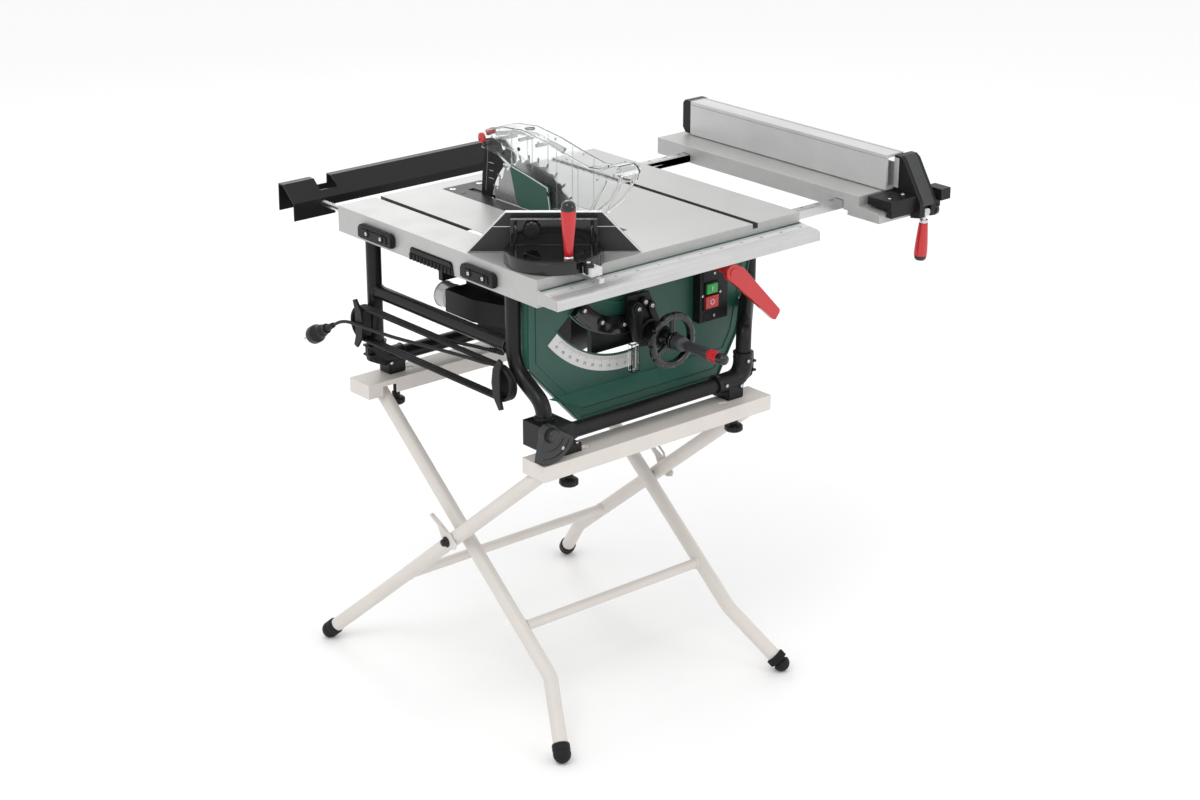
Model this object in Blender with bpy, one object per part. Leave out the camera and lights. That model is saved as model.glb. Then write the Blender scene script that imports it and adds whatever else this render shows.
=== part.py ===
"""Portable table saw on a folding stand: metres, +Z up, X to the operator's right, Y to the back.

The origin is on the floor, midway between the stand's beams. Run it with
blender --background --python part.py, or from Blender's text editor.
"""

from math import cos, hypot, pi, radians, sin

import bmesh
import bpy
import numpy as np
from mathutils import Matrix, Vector

GAP = 0.0003          # between pieces that touch
CLEAR = 0.0006        # between pieces that slide or turn on each other

# Table
TABLE_TOP = 0.880
TABLE_LEFT = -0.247
TABLE_RIGHT = 0.380
TABLE_FRONT = -0.246
TABLE_BACK = 0.345
PLATE = 0.013
SKIRT = 0.050
SKIRT_WALL = 0.004
SLOT_WIDTH = 0.0126
SLOT_DEPTH = 0.0095
LEFT_SLOT_X = -0.1555
RIGHT_SLOT_X = 0.2662
BLADE_X = 0.0105
INSERT = (-0.032, 0.062, -0.125, 0.308)      # left, right, front, back
INSERT_THICK = 0.004
RAIL_FRONT = -0.3012
RAIL_DROP = 0.0185
RAIL_HEIGHT = 0.0242

# Stand
BEAM_HALF = 0.2715
BEAM_TOP = 0.5573
BEAM_WIDTH = 0.062
BEAM_HEIGHT = 0.029
BEAM_WALL = 0.0025
BEAM_Y = 0.262
LEG_R = 0.0135
HINGE_Z = 0.530
INNER_LEG_X = 0.222
OUTER_LEG_X = 0.253
FOOT_SPLAY = 0.052
KNEE = (0.2426, 0.117)        # y and z of the bend, without its sign
FOOT_R = 0.0165
FRONT_FOOT_Y = -0.338
REAR_FOOT_Y = 0.3457
CROSSBAR = (0.1600, 0.1860)   # y and z of the lower cross tubes, without the sign of y
CROSSBAR_R = 0.0095
KNOB_X = {"front": (-0.1920, 0.2070), "rear": (-0.1870, 0.1890)}

# Tube frame of the saw
TUBE_R = 0.0145
LOWER_Z = 0.589
FRONT_TUBE_Y = -0.250
REAR_TUBE_Y = 0.270
LEFT_TUBE_X = -0.2225
RIGHT_TUBE_X = 0.345
UPRIGHT_Y = -0.149
RIGHT_BASE_X = 0.239

# Front panel and bevel mechanism
PANEL_FRONT = -0.178
PANEL_DEPTH = 0.0135
PANEL_WALL = 0.003
WHEEL_OUT = 0.0395            # wheel axis, right of the blade plane
WHEEL_DROP = 0.172            # and below the table top
RACK_INNER = 0.135
RACK_OUTER = 0.1672
WINDOW = (0.1697, 0.2065)

# Cutting unit
BLADE_R = 0.127
BLADE_THICK = 0.0026
BLADE_Y = 0.0775
BLADE_Z = 0.850
BORE_R = 0.015
KNIFE_THICK = 0.0022
GUARD_PIVOT = (0.205, 0.985)
GUARD_HALF = 0.020
GUARD_WALL = 0.002
PIN_R = 0.0035
FLAP_PIVOT = (0.0079, 0.9302)

# Fence, extensions, mitre gauge
EXT_LEFT = 0.537
EXT_RIGHT = 0.700
EXT_BACK = 0.326
FENCE_X = 0.6003
FENCE_WIDTH = 0.046
FENCE_LOW = 0.882
FENCE_HIGH = 0.951
FENCE_FRONT = -0.2556
FENCE_BACK = 0.296
REAR_SHEET = (0.4950, 0.5480)
REAR_SHEET_X = (-0.247, 0.300)
SHEET = 0.0025
GAUGE_Y = -0.180
GAUGE_TURN = radians(-40)
GAUGE_R = 0.088
GAUGE_FACE = 0.047

# Mains cord
CORD_R = 0.0033
CORD_TURNS = 3
WINDING_R = 0.0310            # bend of the cord round the hooks
WINDING_Z = 0.668

for old in list(bpy.data.objects):
    bpy.data.objects.remove(old, do_unlink=True)


def finish(name, colour, roughness, metallic=0.0, clear=0.0):
    material = bpy.data.materials.new(name)
    material.use_nodes = True
    shader = material.node_tree.nodes["Principled BSDF"]
    shader.inputs["Base Color"].default_value = (*colour, 1)
    shader.inputs["Roughness"].default_value = roughness
    shader.inputs["Metallic"].default_value = metallic
    shader.inputs["Transmission Weight"].default_value = clear
    material.diffuse_color = (*colour, 1)
    return material


ALUMINIUM = finish("cast_aluminium", (0.66, 0.66, 0.65), 0.45, 0.8)
EXTRUDED = finish("extruded_aluminium", (0.72, 0.72, 0.72), 0.35, 0.85)
BLACK_STEEL = finish("black_coated_steel", (0.012, 0.012, 0.013), 0.35)
BLACK_PLASTIC = finish("black_plastic", (0.015, 0.015, 0.017), 0.5)
GREEN = finish("dark_green_plastic", (0.018, 0.105, 0.08), 0.5)
GREIGE = finish("light_coated_steel", (0.60, 0.58, 0.56), 0.4)
RED = finish("red_plastic", (0.62, 0.02, 0.02), 0.4)
BRIGHT_GREEN = finish("button_green", (0.05, 0.45, 0.08), 0.4)
STEEL = finish("bright_steel", (0.62, 0.62, 0.62), 0.3, 1.0)
INSERT_GREY = finish("insert_grey", (0.10, 0.10, 0.11), 0.5, 0.4)
CLEAR_PLASTIC = finish("clear_plastic", (0.85, 0.87, 0.88), 0.1, 0.0, 0.8)
RUBBER = finish("rubber", (0.02, 0.02, 0.02), 0.7)


# ---- shape tools -------------------------------------------------------------------------------

def keep(name, shape, material, smooth=True):
    """Turns a bmesh into the named object and frees it."""
    bmesh.ops.recalc_face_normals(shape, faces=shape.faces)
    mesh = bpy.data.meshes.new(name)
    shape.to_mesh(mesh)
    shape.free()
    mesh.materials.append(material)
    if smooth:
        mesh.shade_smooth()
        mesh.set_sharp_from_angle(angle=radians(35))
    piece = bpy.data.objects.new(name, mesh)
    bpy.context.collection.objects.link(piece)
    return piece


def prism(name, outline, axis, start, end, material):
    """Extrudes an outline of (a, b) points along axis; a and b are the other two axes in order."""
    order = {"x": (2, 0, 1), "y": (0, 2, 1), "z": (0, 1, 2)}[axis]
    shape = bmesh.new()
    rings = []
    for level in (start, end):
        rings.append([shape.verts.new([(a, b, level)[i] for i in order]) for a, b in outline])
    shape.faces.new(rings[0])
    shape.faces.new(rings[1])
    count = len(outline)
    for i in range(count):
        j = (i + 1) % count
        shape.faces.new((rings[0][i], rings[0][j], rings[1][j], rings[1][i]))
    return keep(name, shape, material)


def box(name, low, high, material):
    outline = [(low[0], low[1]), (high[0], low[1]), (high[0], high[1]), (low[0], high[1])]
    return prism(name, outline, "z", low[2], high[2], material)


def turned(name, profile, start, direction, material, sides=20):
    """Turns a profile of (radius, height) points about the line from start along direction."""
    shape = bmesh.new()
    turn = Vector((0, 0, 1)).rotation_difference(Vector(direction)).to_matrix().to_4x4()
    place = Matrix.Translation(start) @ turn
    rings = []
    for radius, height in profile:
        if radius < 1e-6:
            rings.append([shape.verts.new(place @ Vector((0, 0, height)))])
        else:
            angles = [2 * pi * i / sides for i in range(sides)]
            points = [Vector((radius * cos(a), radius * sin(a), height)) for a in angles]
            rings.append([shape.verts.new(place @ point) for point in points])
    for first, second in zip(rings, rings[1:]):
        for i in range(sides):
            j = (i + 1) % sides
            if len(first) == 1:
                shape.faces.new((first[0], second[j], second[i]))
            elif len(second) == 1:
                shape.faces.new((first[i], first[j], second[0]))
            else:
                shape.faces.new((first[i], first[j], second[j], second[i]))
    for ring in (rings[0], rings[-1]):
        if len(ring) > 1:
            shape.faces.new(ring)
    return keep(name, shape, material)


def rod(name, start, end, radius, material, sides=16):
    start, end = Vector(start), Vector(end)
    return turned(name, [(radius, 0), (radius, (end - start).length)], start, end - start, material, sides)


def ring(name, inner, outer, start, direction, depth, material, sides=24):
    """A flat ring of the given depth, closed."""
    shape = bmesh.new()
    turn = Vector((0, 0, 1)).rotation_difference(Vector(direction)).to_matrix().to_4x4()
    place = Matrix.Translation(start) @ turn
    loops = []
    for radius, height in ((inner, 0), (outer, 0), (outer, depth), (inner, depth)):
        points = [Vector((radius * cos(2 * pi * i / sides), radius * sin(2 * pi * i / sides), height))
                  for i in range(sides)]
        loops.append([shape.verts.new(place @ point) for point in points])
    for first, second in zip(loops, loops[1:] + loops[:1]):
        for i in range(sides):
            j = (i + 1) % sides
            shape.faces.new((first[i], first[j], second[j], second[i]))
    return keep(name, shape, material)


def rounded_path(points, radius, steps=4):
    """The polyline with each corner replaced by an arc of about the given radius."""
    points = [Vector(p) for p in points]
    path = [points[0]]
    for before, corner, after in zip(points, points[1:], points[2:]):
        back, ahead = (before - corner).normalized(), (after - corner).normalized()
        bend = back.angle(ahead)
        room_back = (0.95 if before == points[0] else 0.48) * (before - corner).length
        room_ahead = (0.95 if after == points[-1] else 0.48) * (after - corner).length
        reach = min(radius / max(1e-6, np.tan(bend / 2)), room_back, room_ahead)
        first, last = corner + back * reach, corner + ahead * reach
        for i in range(steps + 1):
            t = i / steps
            path.append((1 - t) ** 2 * first + 2 * t * (1 - t) * corner + t * t * last)
    path.append(points[-1])
    return path


def tube(name, points, radius, material, sides=12, bend=0.03):
    """A solid round tube along the points, its corners rounded, closed at both ends."""
    path = rounded_path(points, bend) if bend else [Vector(p) for p in points]
    shape = bmesh.new()
    tangent = (path[1] - path[0]).normalized()
    side = tangent.orthogonal().normalized()
    loops = []
    for i, point in enumerate(path):
        before = (point - path[i - 1]).normalized() if i else tangent
        after = (path[i + 1] - point).normalized() if i < len(path) - 1 else before
        heading = (before + after).normalized()
        turn = tangent.rotation_difference(heading)
        side = (turn @ side).normalized()
        tangent = heading
        other = tangent.cross(side)
        around = [2 * pi * k / sides for k in range(sides)]
        loops.append([shape.verts.new(point + radius * (cos(a) * side + sin(a) * other)) for a in around])
    for first, second in zip(loops, loops[1:]):
        for i in range(sides):
            j = (i + 1) % sides
            shape.faces.new((first[i], first[j], second[j], second[i]))
    shape.faces.new(loops[0])
    shape.faces.new(loops[-1])
    return keep(name, shape, material)


def boolean(piece, other, operation):
    other.hide_render = True
    other.display_type = "WIRE"
    change = piece.modifiers.new(other.name, "BOOLEAN")
    change.operation = operation
    change.object = other
    change.solver = "EXACT"


def add(piece, *others):
    for other in others:
        boolean(piece, other, "UNION")
    return piece


def cut(piece, *others):
    for other in others:
        boolean(piece, other, "DIFFERENCE")
    return piece


def set_origin(piece, point, turn=None):
    """Puts the piece's origin on its joint axis without moving its shape."""
    point = Vector(point)
    piece.data.transform(Matrix.Translation(-point))
    piece.location = point
    if turn is not None:
        piece.rotation_euler[2] = turn
    for modifier in piece.modifiers:
        if turn is not None and modifier.type == "BOOLEAN":
            other = modifier.object
            other.data.transform(Matrix.Translation(-point))
            other.location = point
            other.rotation_euler[2] = turn
    return piece


def arc_band(centre, inner, outer, first, last, steps):
    """The outline of a curved band in the x-z plane; angles run from straight down to the left."""
    def at(radius, angle):
        return (centre[0] - radius * sin(angle), centre[1] - radius * cos(angle))
    angles = [first + (last - first) * i / steps for i in range(steps + 1)]
    return [at(outer, a) for a in angles] + [at(inner, a) for a in reversed(angles)]


def arc_points(centre, radius, first, last, steps):
    angles = [first + (last - first) * i / steps for i in range(steps + 1)]
    return [(centre[0] + radius * cos(a), centre[1] + radius * sin(a)) for a in angles]


# ---- stand -------------------------------------------------------------------------------------

BEAM_LOW = BEAM_TOP - BEAM_HEIGHT


def stand_beam(name, y, toward):
    """A closed-ended channel, open below, with notches that let the legs swing up."""
    half = BEAM_WIDTH / 2
    beam = box(name, (-BEAM_HALF, y - half, BEAM_LOW), (BEAM_HALF, y + half, BEAM_TOP), GREIGE)
    inside = box(name + "_inside", (-BEAM_HALF + BEAM_WALL, y - half + BEAM_WALL, BEAM_LOW - 0.01),
                 (BEAM_HALF - BEAM_WALL, y + half - BEAM_WALL, BEAM_TOP - BEAM_WALL), GREIGE)
    cut(beam, inside)
    leg_x = INNER_LEG_X if y > 0 else OUTER_LEG_X
    for side in (-1, 1):
        wall = y + toward * half
        wide = LEG_R + 0.002
        notch = box(name + "_notch", (side * leg_x - wide, wall - 0.008, BEAM_LOW - 0.01),
                    (side * leg_x + wide, wall + 0.008, HINGE_Z + LEG_R + 0.003), GREIGE)
        cut(beam, notch)
    return beam


stand_beam("stand_beam_front", -BEAM_Y, 1)
stand_beam("stand_beam_rear", BEAM_Y, -1)


def foot_centre(side, leg_x, y):
    return Vector((side * (leg_x + FOOT_SPLAY), y, FOOT_R))


def leg_frame(name, leg_x, hinge_y, toward, foot_y):
    """Two bent legs and their cross tube, hinged in a beam; toward is the way the legs go."""
    legs = []
    for side in (-1, 1):
        centre = foot_centre(side, leg_x, foot_y)
        knee = Vector((side * leg_x, toward * KNEE[0], KNEE[1]))
        end = centre + (knee - centre).normalized() * 0.020
        top = Vector((side * leg_x, hinge_y, HINGE_Z))
        top += (top - knee).normalized() * 0.006
        legs.append(tube(name if side < 0 else name + "_right", [top, knee, end], LEG_R, GREIGE, 12, 0.06))
    bar_y, bar_z = toward * CROSSBAR[0], CROSSBAR[1]
    slope = (HINGE_Z - KNEE[1]) / (abs(hinge_y) + KNEE[0])
    bar_z = HINGE_Z - slope * abs(bar_y - hinge_y)
    bar = rod(name + "_bar", (-leg_x, bar_y, bar_z), (leg_x, bar_y, bar_z), CROSSBAR_R, GREIGE, 12)
    add(legs[0], legs[1], bar)
    set_origin(legs[0], (0, hinge_y, HINGE_Z))
    return legs[0]


leg_frame("leg_frame_front", INNER_LEG_X, BEAM_Y, -1, FRONT_FOOT_Y)
leg_frame("leg_frame_rear", OUTER_LEG_X, -BEAM_Y, 1, REAR_FOOT_Y)


def foot_cap(name, side, leg_x, toward, y, collar=0.0):
    centre = foot_centre(side, leg_x, y)
    knee = Vector((side * leg_x, toward * KNEE[0], KNEE[1]))
    up = (knee - centre).normalized()
    radius = FOOT_R
    profile = [(0, -radius)]
    profile += [(radius * sin(a), -radius * cos(a)) for a in np.linspace(0.3, pi / 2, 5)]
    if collar:
        profile += [(radius * 0.82, 0.004), (collar, 0.005), (collar, 0.020 - GAP)]
    else:
        profile += [(radius, 0.020 - GAP)]
    return turned(name, profile, centre, up, RUBBER, 16)


foot_cap("foot_cap_front_left", -1, INNER_LEG_X, -1, FRONT_FOOT_Y)
foot_cap("foot_cap_rear_left", -1, OUTER_LEG_X, 1, REAR_FOOT_Y)
foot_cap("foot_cap_rear_right", 1, OUTER_LEG_X, 1, REAR_FOOT_Y)
foot_cap("levelling_foot_front_right", 1, INNER_LEG_X, -1, FRONT_FOOT_Y, 0.0185)

CROSSING_Z = HINGE_Z - (HINGE_Z - KNEE[1]) * BEAM_Y / (BEAM_Y + KNEE[0])


def crossing_latch(name, side):
    """The release lever on the outer leg's outside, at the crossing."""
    outline = [(-0.075, 0.066), (-0.070, 0.074), (-0.020, 0.052), (0.022, 0.030), (0.048, 0.004),
               (0.044, -0.012), (0.020, -0.020), (-0.012, -0.014), (-0.026, 0.006), (-0.040, 0.036)]
    outline = [(-a * 0.6, b * 0.6 + CROSSING_Z) for a, b in outline]
    inner = side * (OUTER_LEG_X + LEG_R + CLEAR)
    latch = prism(name, outline, "x", inner, inner + side * 0.003, GREIGE)
    return set_origin(latch, (inner, 0, CROSSING_Z))


crossing_latch("crossing_latch_left", -1)
crossing_latch("crossing_latch_right", 1)


def stand_knob(name, x, y):
    """A clamping knob under a beam; its stud runs up inside the channel."""
    stud_top = BEAM_TOP - BEAM_WALL - GAP
    profile = [(0.015, 0), (0.0175, 0.003), (0.0175, 0.011), (0.013, 0.014), (0.008, 0.014),
               (0.008, 0.024), (0.005, 0.024), (0.005, stud_top - 0.493)]
    return turned(name, profile, (x, y, 0.493), (0, 0, 1), BLACK_PLASTIC, 16)


for end, knob_y in (("front", -BEAM_Y), ("rear", BEAM_Y)):
    for hand, knob_x in zip(("left", "right"), KNOB_X[end]):
        stand_knob("stand_knob_" + end + "_" + hand, knob_x, knob_y)

# ---- tube frame --------------------------------------------------------------------------------

UNDER_PLATE = TABLE_TOP - PLATE - 0.0005
MID_R = 0.0130
CAST_R = 0.0185
CAST_TOP = {"left": 0.6280, "right": 0.6400}
BEAM_REST = BEAM_TOP + GAP


LEFT_PATH = [(LEFT_TUBE_X, UPRIGHT_Y, UNDER_PLATE), (LEFT_TUBE_X, UPRIGHT_Y, 0.690),
             (LEFT_TUBE_X, FRONT_TUBE_Y + 0.018, 0.643), (LEFT_TUBE_X, FRONT_TUBE_Y + 0.018, 0.6155)]
LEFT_BEND = 0.070
RIGHT_BEND = 0.040


def right_path(y, base_y):
    return [(RIGHT_TUBE_X, y, UNDER_PLATE), (RIGHT_TUBE_X, y, 0.725), (RIGHT_BASE_X, base_y, 0.683),
            (RIGHT_BASE_X, base_y, CAST_TOP["right"] + GAP)]


def side_frame_left():
    front = tube("side_frame_left", LEFT_PATH, TUBE_R, BLACK_STEEL, 14, LEFT_BEND)
    back = rod("side_frame_left_back", (LEFT_TUBE_X, REAR_TUBE_Y, UNDER_PLATE),
               (LEFT_TUBE_X, REAR_TUBE_Y, CAST_TOP["left"] + GAP), TUBE_R, BLACK_STEEL, 14)
    middle = rod("side_frame_left_middle", (LEFT_TUBE_X, UPRIGHT_Y, 0.727),
                 (LEFT_TUBE_X, REAR_TUBE_Y, 0.727), MID_R, BLACK_STEEL, 12)
    add(front, back, middle)


def side_frame_right():
    parts = []
    for name, y, base_y in (("side_frame_right", UPRIGHT_Y, FRONT_TUBE_Y),
                            ("side_frame_right_back", REAR_TUBE_Y, REAR_TUBE_Y)):
        parts.append(tube(name, right_path(y, base_y), TUBE_R, BLACK_STEEL, 14, RIGHT_BEND))
    middle = rod("side_frame_right_middle", (RIGHT_TUBE_X, UPRIGHT_Y, 0.760),
                 (RIGHT_TUBE_X, REAR_TUBE_Y, 0.760), MID_R, BLACK_STEEL, 12)
    add(parts[0], parts[1], middle)


side_frame_left()
side_frame_right()

ELBOW_END = {"front": -0.190, "rear": -0.165, "right": 0.166}      # where the lower tubes butt
BLOCK_HALF = 0.019


def elbow(name, x, end):
    """A cast elbow from the lower tube up into a side frame, on a block that stands on the beam."""
    y = FRONT_TUBE_Y if end == "front" else REAR_TUBE_Y
    side, outward = ("left", -1) if x < 0 else ("right", 1)
    top = CAST_TOP[side]
    end_x = ELBOW_END[end] if side == "left" else ELBOW_END["right"]
    casting = tube(name, [(end_x, y, LOWER_Z), (x, y, LOWER_Z), (x, y, top)], CAST_R, BLACK_PLASTIC, 14,
                   0.035)
    knob_x = KNOB_X[end][0 if side == "left" else 1]
    block = box(name + "_block", (knob_x - BLOCK_HALF, y - 0.017, BEAM_REST),
                (knob_x + BLOCK_HALF, y + 0.017, LOWER_Z), BLACK_PLASTIC)
    rib = prism(name + "_rib", [(x - outward * 0.004, 0.578), (x + outward * 0.020, 0.592),
                                (x + outward * 0.023, top - 0.006), (x + outward * 0.010, top - 0.002)],
                "y", y - 0.006, y + 0.006, BLACK_PLASTIC)
    return add(casting, block, rib)


elbow("corner_casting_front_right", RIGHT_BASE_X, "front")
elbow("corner_casting_rear_right", RIGHT_BASE_X, "rear")
elbow("corner_casting_rear_left", LEFT_TUBE_X, "rear")


def casting_front_left():
    casting = box("corner_casting_front_left", (-0.249, -0.2755, 0.568), (ELBOW_END["front"], -0.205, 0.615),
                  BLACK_PLASTIC)
    knob_x = KNOB_X["front"][0]
    block = box("casting_front_left_block", (knob_x - BLOCK_HALF, FRONT_TUBE_Y - 0.025, BEAM_REST),
                (knob_x + BLOCK_HALF, FRONT_TUBE_Y + 0.013, 0.573), BLACK_PLASTIC)
    return add(casting, block)


casting_front_left()
for end, tube_y in (("front", FRONT_TUBE_Y), ("rear", REAR_TUBE_Y)):
    rod("lower_tube_" + end, (ELBOW_END[end] + GAP, tube_y, LOWER_Z),
        (ELBOW_END["right"] - GAP, tube_y, LOWER_Z),
        TUBE_R, BLACK_STEEL, 14)


def levelling_foot():
    """The fan-shaped foot that turns on the front left corner to take up an uneven stand."""
    pivot = (-0.2560, 0.6140)
    outline = arc_points(pivot, 0.054, radians(-118), radians(-18), 8)
    outline += arc_points(pivot, 0.017, radians(20), radians(200), 6)
    foot = prism("levelling_foot", outline, "y", -0.2920, -0.2762, BLACK_PLASTIC)
    button = turned("levelling_foot_knob", [(0.012, 0), (0.012, 0.008), (0.009, 0.012)],
                    (pivot[0], -0.2918, pivot[1]), (0, -1, 0), BLACK_PLASTIC, 16)
    add(foot, button)
    return set_origin(foot, (pivot[0], -0.2762, pivot[1]))


levelling_foot()

# ---- table -------------------------------------------------------------------------------------

EXT_RAIL_TOP = TABLE_TOP - 0.016
EXT_RAIL_LOW = TABLE_TOP - 0.0325
EXT_RAIL_WIDE = 0.022
EXT_RAIL_Y = (-0.195, 0.238)
ROD_R = 0.006
ROD_Z = 0.839
ROD_X = (-0.180, 0.250)


def table_top():
    """The cast plate with its skirt, slots, insert opening and the holes for the sliding rails."""
    low = TABLE_TOP - SKIRT
    top = box("table_top", (TABLE_LEFT, TABLE_FRONT, low), (TABLE_RIGHT, TABLE_BACK, TABLE_TOP), ALUMINIUM)
    hollow = box("table_hollow", (TABLE_LEFT + SKIRT_WALL, TABLE_FRONT + SKIRT_WALL, low - 0.01),
                 (TABLE_RIGHT - SKIRT_WALL, TABLE_BACK - SKIRT_WALL, TABLE_TOP - PLATE), ALUMINIUM)
    cut(top, hollow)
    for slot_x in (LEFT_SLOT_X, RIGHT_SLOT_X):
        cut(top, box("mitre_slot", (slot_x - SLOT_WIDTH / 2, TABLE_FRONT - 0.01, TABLE_TOP - SLOT_DEPTH),
                     (slot_x + SLOT_WIDTH / 2, TABLE_BACK + 0.01, TABLE_TOP + 0.01), ALUMINIUM))
    left, right, front, back = INSERT
    cut(top, box("insert_opening", (left, front, TABLE_TOP - INSERT_THICK - GAP),
                 (right, back, TABLE_TOP + 0.01), ALUMINIUM))
    cut(top, box("blade_opening", (left + 0.006, front + 0.015, low),
                 (right - 0.006, back - 0.015, TABLE_TOP), ALUMINIUM))
    for y in EXT_RAIL_Y:
        cut(top, box("rail_hole", (TABLE_RIGHT - 0.02, y - EXT_RAIL_WIDE / 2 - CLEAR, EXT_RAIL_LOW - CLEAR),
                     (TABLE_RIGHT + 0.02, y + EXT_RAIL_WIDE / 2 + CLEAR, EXT_RAIL_TOP + CLEAR), ALUMINIUM))
    for x in ROD_X:
        cut(top, rod("rod_hole", (x, TABLE_BACK - 0.02, ROD_Z), (x, TABLE_BACK + 0.02, ROD_Z),
                     ROD_R + CLEAR, ALUMINIUM, 12))
    return top


table_top()


def table_insert():
    left, right, front, back = INSERT
    plate = box("table_insert", (left + GAP, front + GAP, TABLE_TOP - INSERT_THICK),
                (right - GAP, back - GAP, TABLE_TOP), INSERT_GREY)
    slot = box("insert_slot", (BLADE_X - 0.007, front + 0.035, TABLE_TOP - 0.01),
               (BLADE_X + 0.007, back - 0.035, TABLE_TOP + 0.01), INSERT_GREY)
    return cut(plate, slot)


table_insert()

RAIL_TOP = TABLE_TOP - RAIL_DROP
RAIL_LOW = RAIL_TOP - RAIL_HEIGHT


def rail_outline(back):
    return [(back, RAIL_TOP), (RAIL_FRONT + 0.006, RAIL_TOP - 0.0045),
            (RAIL_FRONT + 0.001, RAIL_TOP - 0.0075),
            (RAIL_FRONT, RAIL_TOP - 0.0105), (RAIL_FRONT, RAIL_LOW), (back, RAIL_LOW)]


prism("front_rail", rail_outline(TABLE_FRONT - GAP), "x", TABLE_LEFT, TABLE_RIGHT, EXTRUDED)

# ---- front panel, bevel rack, switch -------------------------------------------------------------

TILT = (BLADE_X, TABLE_TOP)
WHEEL = (BLADE_X + WHEEL_OUT, TABLE_TOP - WHEEL_DROP)
PANEL_TOP = TABLE_TOP - SKIRT - 0.0005


def panel_outline(inset=0.0):
    """The panel's outline: upright on the left, cut back to the lower left, leaning on the right."""
    return [(-0.2165 + inset, PANEL_TOP - inset), (-0.2165 + inset, 0.691 + 0.5 * inset),
            (-0.099 + 0.4 * inset, 0.566 + inset), (0.244 - 0.6 * inset, 0.566 + inset),
            (0.292 - inset, 0.6486 + 0.3 * inset), (0.330 - 1.2 * inset, PANEL_TOP - inset)]


def front_panel():
    panel = prism("front_panel", panel_outline(), "y", PANEL_FRONT, PANEL_FRONT + PANEL_DEPTH, GREEN)
    inside = prism("panel_inside", panel_outline(PANEL_WALL), "y", PANEL_FRONT + PANEL_WALL, -0.10, GREEN)
    window = prism("panel_window", arc_band(TILT, *WINDOW, radians(-24), radians(50), 18), "y",
                   PANEL_FRONT - 0.01, PANEL_FRONT + 0.02, GREEN)
    left = tube("panel_relief_left", LEFT_PATH, TUBE_R + 0.0015, GREEN, 14, LEFT_BEND)
    right = tube("panel_relief_right", right_path(UPRIGHT_Y, FRONT_TUBE_Y), TUBE_R + 0.0015, GREEN, 14,
                 RIGHT_BEND)
    return cut(panel, inside, window, left, right)


front_panel()


def bevel_rack():
    """The toothed arc, centred on the tilt axis, that the hand wheel's pinion climbs."""
    first, last, teeth = radians(-20), radians(50), 36
    def at(radius, angle):
        return (TILT[0] - radius * sin(angle), TILT[1] - radius * cos(angle))
    pitch = (last - first) / teeth
    outer = []
    for i in range(teeth):
        start = first + i * pitch
        outer += [at(RACK_OUTER - 0.003, start + 0.1 * pitch), at(RACK_OUTER, start + 0.35 * pitch),
                  at(RACK_OUTER, start + 0.65 * pitch), at(RACK_OUTER - 0.003, start + 0.9 * pitch)]
    inner = [at(RACK_INNER, last - (last - first) * i / 14) for i in range(15)]
    return prism("bevel_rack", outer + inner, "y", PANEL_FRONT - 0.0130, PANEL_FRONT - GAP, BLACK_PLASTIC)


bevel_rack()

SWITCH = (0.176, 0.246, 0.693, 0.800)
GREEN_BUTTON = (0.190, 0.216, 0.748, 0.767)
RED_BUTTON = (0.187, 0.219, 0.720, 0.744)
SWITCH_FRONT = PANEL_FRONT - 0.020


def switch_housing():
    left, right, low, high = SWITCH
    housing = box("switch_housing", (left, SWITCH_FRONT, low), (right, PANEL_FRONT - GAP, high),
                  BLACK_PLASTIC)
    for name, spot in (("green_well", GREEN_BUTTON), ("red_well", RED_BUTTON)):
        cut(housing, box(name, (spot[0] - CLEAR, SWITCH_FRONT - 0.01, spot[2] - CLEAR),
                         (spot[1] + CLEAR, SWITCH_FRONT + 0.012, spot[3] + CLEAR), BLACK_PLASTIC))
    return housing


switch_housing()
for button_name, spot, colour in (("start_button", GREEN_BUTTON, BRIGHT_GREEN),
                                  ("stop_button", RED_BUTTON, RED)):
    box(button_name, (spot[0], SWITCH_FRONT - 0.005, spot[2]), (spot[1], SWITCH_FRONT + 0.008, spot[3]),
        colour)

LOCK_PIVOT = (0.168, 0.8180)


def table_lock_lever():
    """The red lever under the rail that locks the sliding extension."""
    outline = arc_points(LOCK_PIVOT, 0.0165, radians(40), radians(215), 8)
    outline += [(0.180, 0.788), (0.272, 0.706), (0.278, 0.7045), (0.288, 0.717), (0.288, 0.723),
                (0.192, 0.824)]
    lever = prism("table_lock_lever", outline, "y", -0.2945, -0.2835, RED)
    shaft = rod("lock_shaft", (LOCK_PIVOT[0], -0.2836, LOCK_PIVOT[1]), (LOCK_PIVOT[0], -0.186, LOCK_PIVOT[1]),
                0.006, RED, 12)
    add(lever, shaft)
    return set_origin(lever, (LOCK_PIVOT[0], -0.2890, LOCK_PIVOT[1]))


table_lock_lever()

# ---- tilt carriage, hand wheel, crank, clamp lever -----------------------------------------------

BOSS_FRONT = -0.2440
PLATE_FRONT = PANEL_FRONT - 0.0210
PLATE_BACK = PANEL_FRONT - 0.0145
INNER_FRONT = -0.1500


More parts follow.
